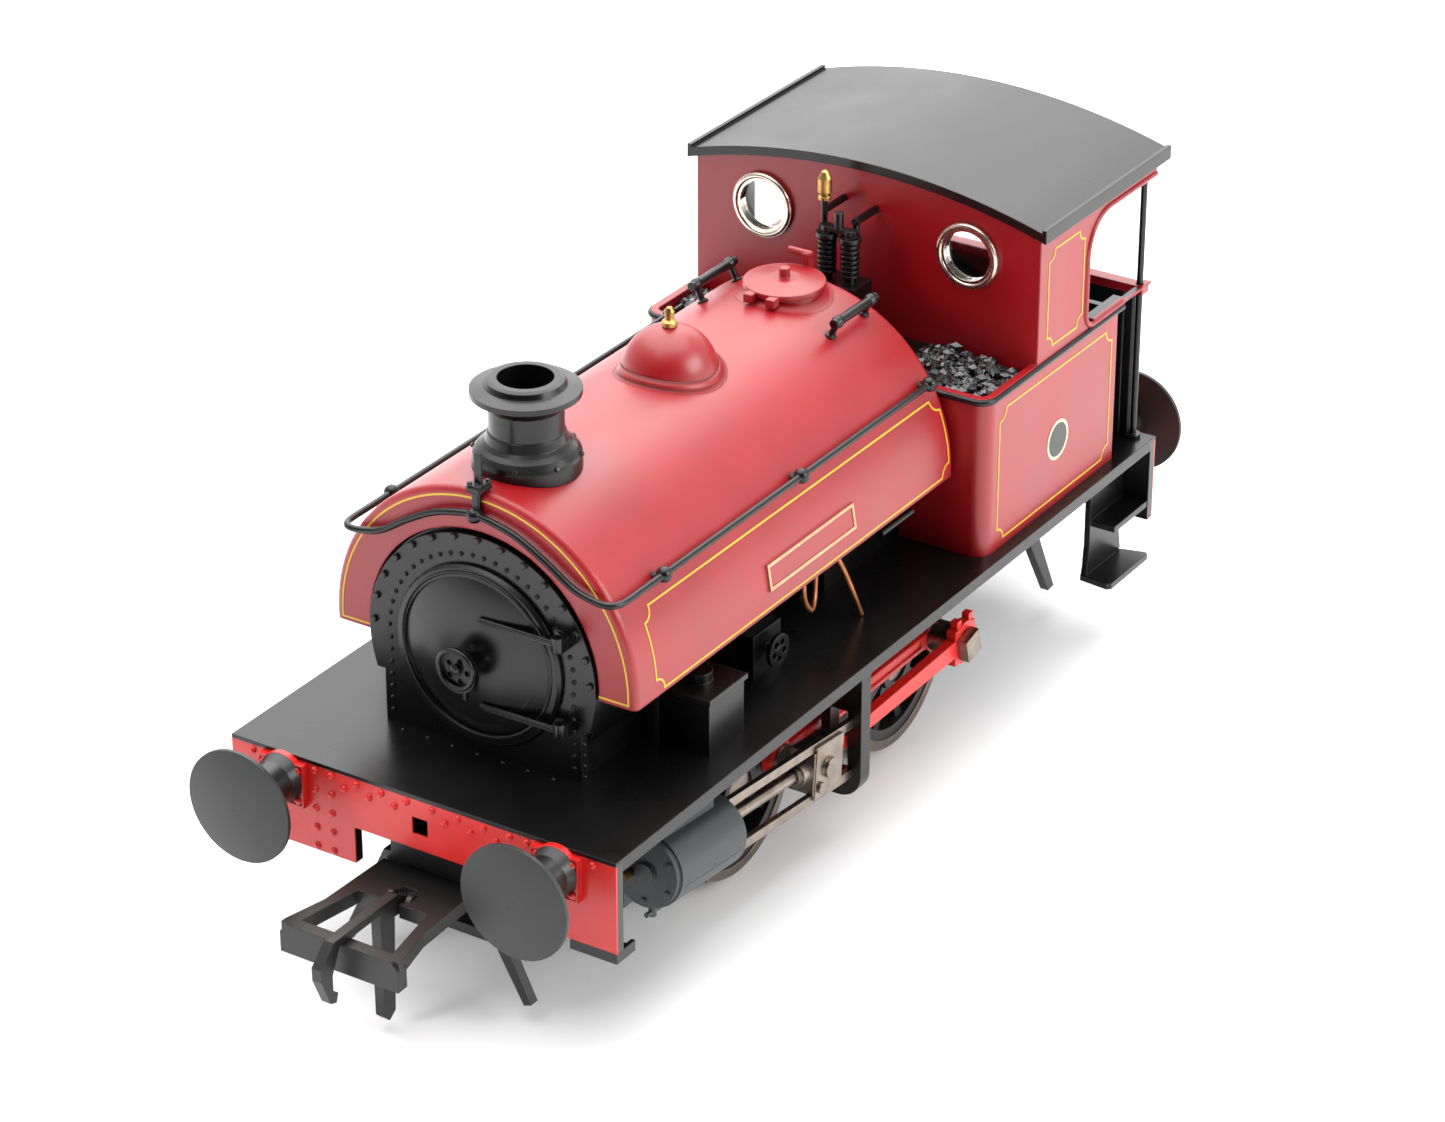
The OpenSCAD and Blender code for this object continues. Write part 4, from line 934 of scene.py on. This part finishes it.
def add_lump(mesh, centre, size, chance):
    made = bmesh.ops.create_icosphere(mesh, subdivisions=1, radius=size)["verts"]
    stretch = Vector([chance.uniform(0.7, 1.15) for _ in range(3)])
    for v in made:
        v.co = centre + Vector([c * s for c, s in zip(v.co, stretch)]) * chance.uniform(0.78, 1.12)


# ---------- Motion details ----------

def make_lagging_seams():
    """The seam of each cylinder's lagging, with a screw at each end."""
    mesh = bmesh.new()
    slope = math.radians(-5.5)
    cover_r = 2.74
    along = Vector((0, math.cos(slope), math.sin(slope)))
    up = Vector((0, -math.sin(slope), math.cos(slope)))
    for side in SIDES:
        centre = Vector((side * MOTION_X, FRONT_AXLE_Y, AXLE_Z)) + 1.2 * up
        out = (Vector((side, 0, 0)) - 0.25 * up).normalized()
        line = [centre + out * cover_r + along * y for y in (-16.3, -16.2, -9.1, -9.0)]
        add_tube(mesh, line, 0.045, 8)
        for y in (-15.9, -12.6, -9.4):
            spot = centre + (out + 0.12 * up).normalized() * cover_r + along * y
            add_rivet(mesh, spot, out, 0.11, 0.06)
    piece("lagging_seams", mesh, FINISH["cylinder_grey"])


# ---------- Studio ----------

def make_floor():
    size = 6.0
    mesh = bmesh.new()
    bmesh.ops.create_grid(mesh, x_segments=8, y_segments=8, size=size / 2)
    data = bpy.data.meshes.new("studio_floor")
    mesh.to_mesh(data)
    mesh.free()
    g = Graph("pale_floor")
    tone = g.mix(g.noise(60.0), (0.88, 0.88, 0.885, 1), (0.9, 0.9, 0.9, 1))
    data.materials.append(g.surface(Base_Color=tone, Roughness=0.7))
    floor = bpy.data.objects.new("studio_floor", data)
    floor.location.z = cad_box[0].z - 0.02 * MM
    bpy.context.scene.collection.objects.link(floor)


def add_light(name, place, aim, size, power):
    data = bpy.data.lights.new(name, "AREA")
    data.shape = "RECTANGLE"
    data.size, data.size_y = size
    data.energy = power
    light = bpy.data.objects.new(name, data)
    light.location = place
    light.rotation_euler = (Vector(aim) - Vector(place)).to_track_quat("-Z", "Y").to_euler()
    light.visible_camera = False
    bpy.context.scene.collection.objects.link(light)
    return light


def make_sky(behind):
    """White for the camera; for the model, dark in front and bright behind as in an open light tent."""
    world = bpy.data.worlds.new("studio_world")
    world.use_nodes = True
    tree = world.node_tree
    place = tree.nodes.new("ShaderNodeTexCoord")
    dot = tree.nodes.new("ShaderNodeVectorMath")
    dot.operation = "DOT_PRODUCT"
    dot.inputs[1].default_value = behind
    tree.links.new(place.outputs["Generated"], dot.inputs[0])
    fade = tree.nodes.new("ShaderNodeMapRange")
    tree.links.new(dot.outputs["Value"], fade.inputs["Value"])
    for name, value in (("From Min", -0.4), ("From Max", 0.8), ("To Min", 0.03), ("To Max", 1.5)):
        fade.inputs[name].default_value = value
    rays = tree.nodes.new("ShaderNodeLightPath")
    seen = tree.nodes.new("ShaderNodeMix")
    tree.links.new(rays.outputs["Is Camera Ray"], seen.inputs[0])
    tree.links.new(fade.outputs["Result"], seen.inputs[2])
    seen.inputs[3].default_value = 1.0
    backdrop = tree.nodes["Background"]
    backdrop.inputs["Color"].default_value = (1.0, 1.0, 1.0, 1.0)
    tree.links.new(seen.outputs[0], backdrop.inputs["Strength"])
    bpy.context.scene.world = world


def make_studio():
    make_floor()
    make_sky(Vector((-0.45, 0.75, 0.5)).normalized())
    centre = (cad_box[0] + cad_box[1]) / 2
    add_light("overhead", centre + Vector((-0.1, 0.08, 0.55)), centre, (0.8, 0.8), 7.0)
    add_light("behind", centre + Vector((-0.34, 0.5, 0.34)), centre, (0.9, 0.5), 2.2)
    add_light("beside", centre + Vector((0.55, 0.1, 0.25)), centre, (0.4, 0.3), 3.2)
    in_front = add_light("in_front", centre + Vector((-0.25, -0.6, 0.3)), centre, (0.15, 0.15), 1.4)
    in_front.visible_glossy = False
    bpy.context.scene.view_settings.view_transform = "Standard"


def make_camera():
    azimuth, elevation, distance = math.radians(32.636), math.radians(27.703), 374.27
    centre = (cad_box[0] + cad_box[1]) / 2
    aim = centre + Vector((-21.476, 33.528, -24.7)) * MM
    level = math.cos(elevation)
    back = Vector((math.sin(azimuth) * level, -math.cos(azimuth) * level, math.sin(elevation)))
    data = bpy.data.cameras.new("photo_view")
    data.sensor_width = 36.0
    data.lens = 111.33
    data.clip_start, data.clip_end = 0.01, 20.0
    camera = bpy.data.objects.new("photo_view", data)
    camera.location = aim + back * distance * MM
    camera.rotation_euler = back.to_track_quat("Z", "Y").to_euler()
    bpy.context.scene.collection.objects.link(camera)
    bpy.context.scene.camera = camera


dress_cad_nodes()
make_lining()
make_plate_borders()
make_bunker_discs()
make_beam_rivets()
make_buffer_bases()
make_buffer_springs()
make_smokebox_rivets()
make_chimney_bolts()
make_door_dish()
make_door_furniture()
make_tank_fillets()
make_handrails()
make_pipes()
make_bunker_beading()
make_doorway_beading()
make_rear_sheet_edges()
make_window_bezels()
make_coal()
make_lagging_seams()
make_studio()
make_camera()
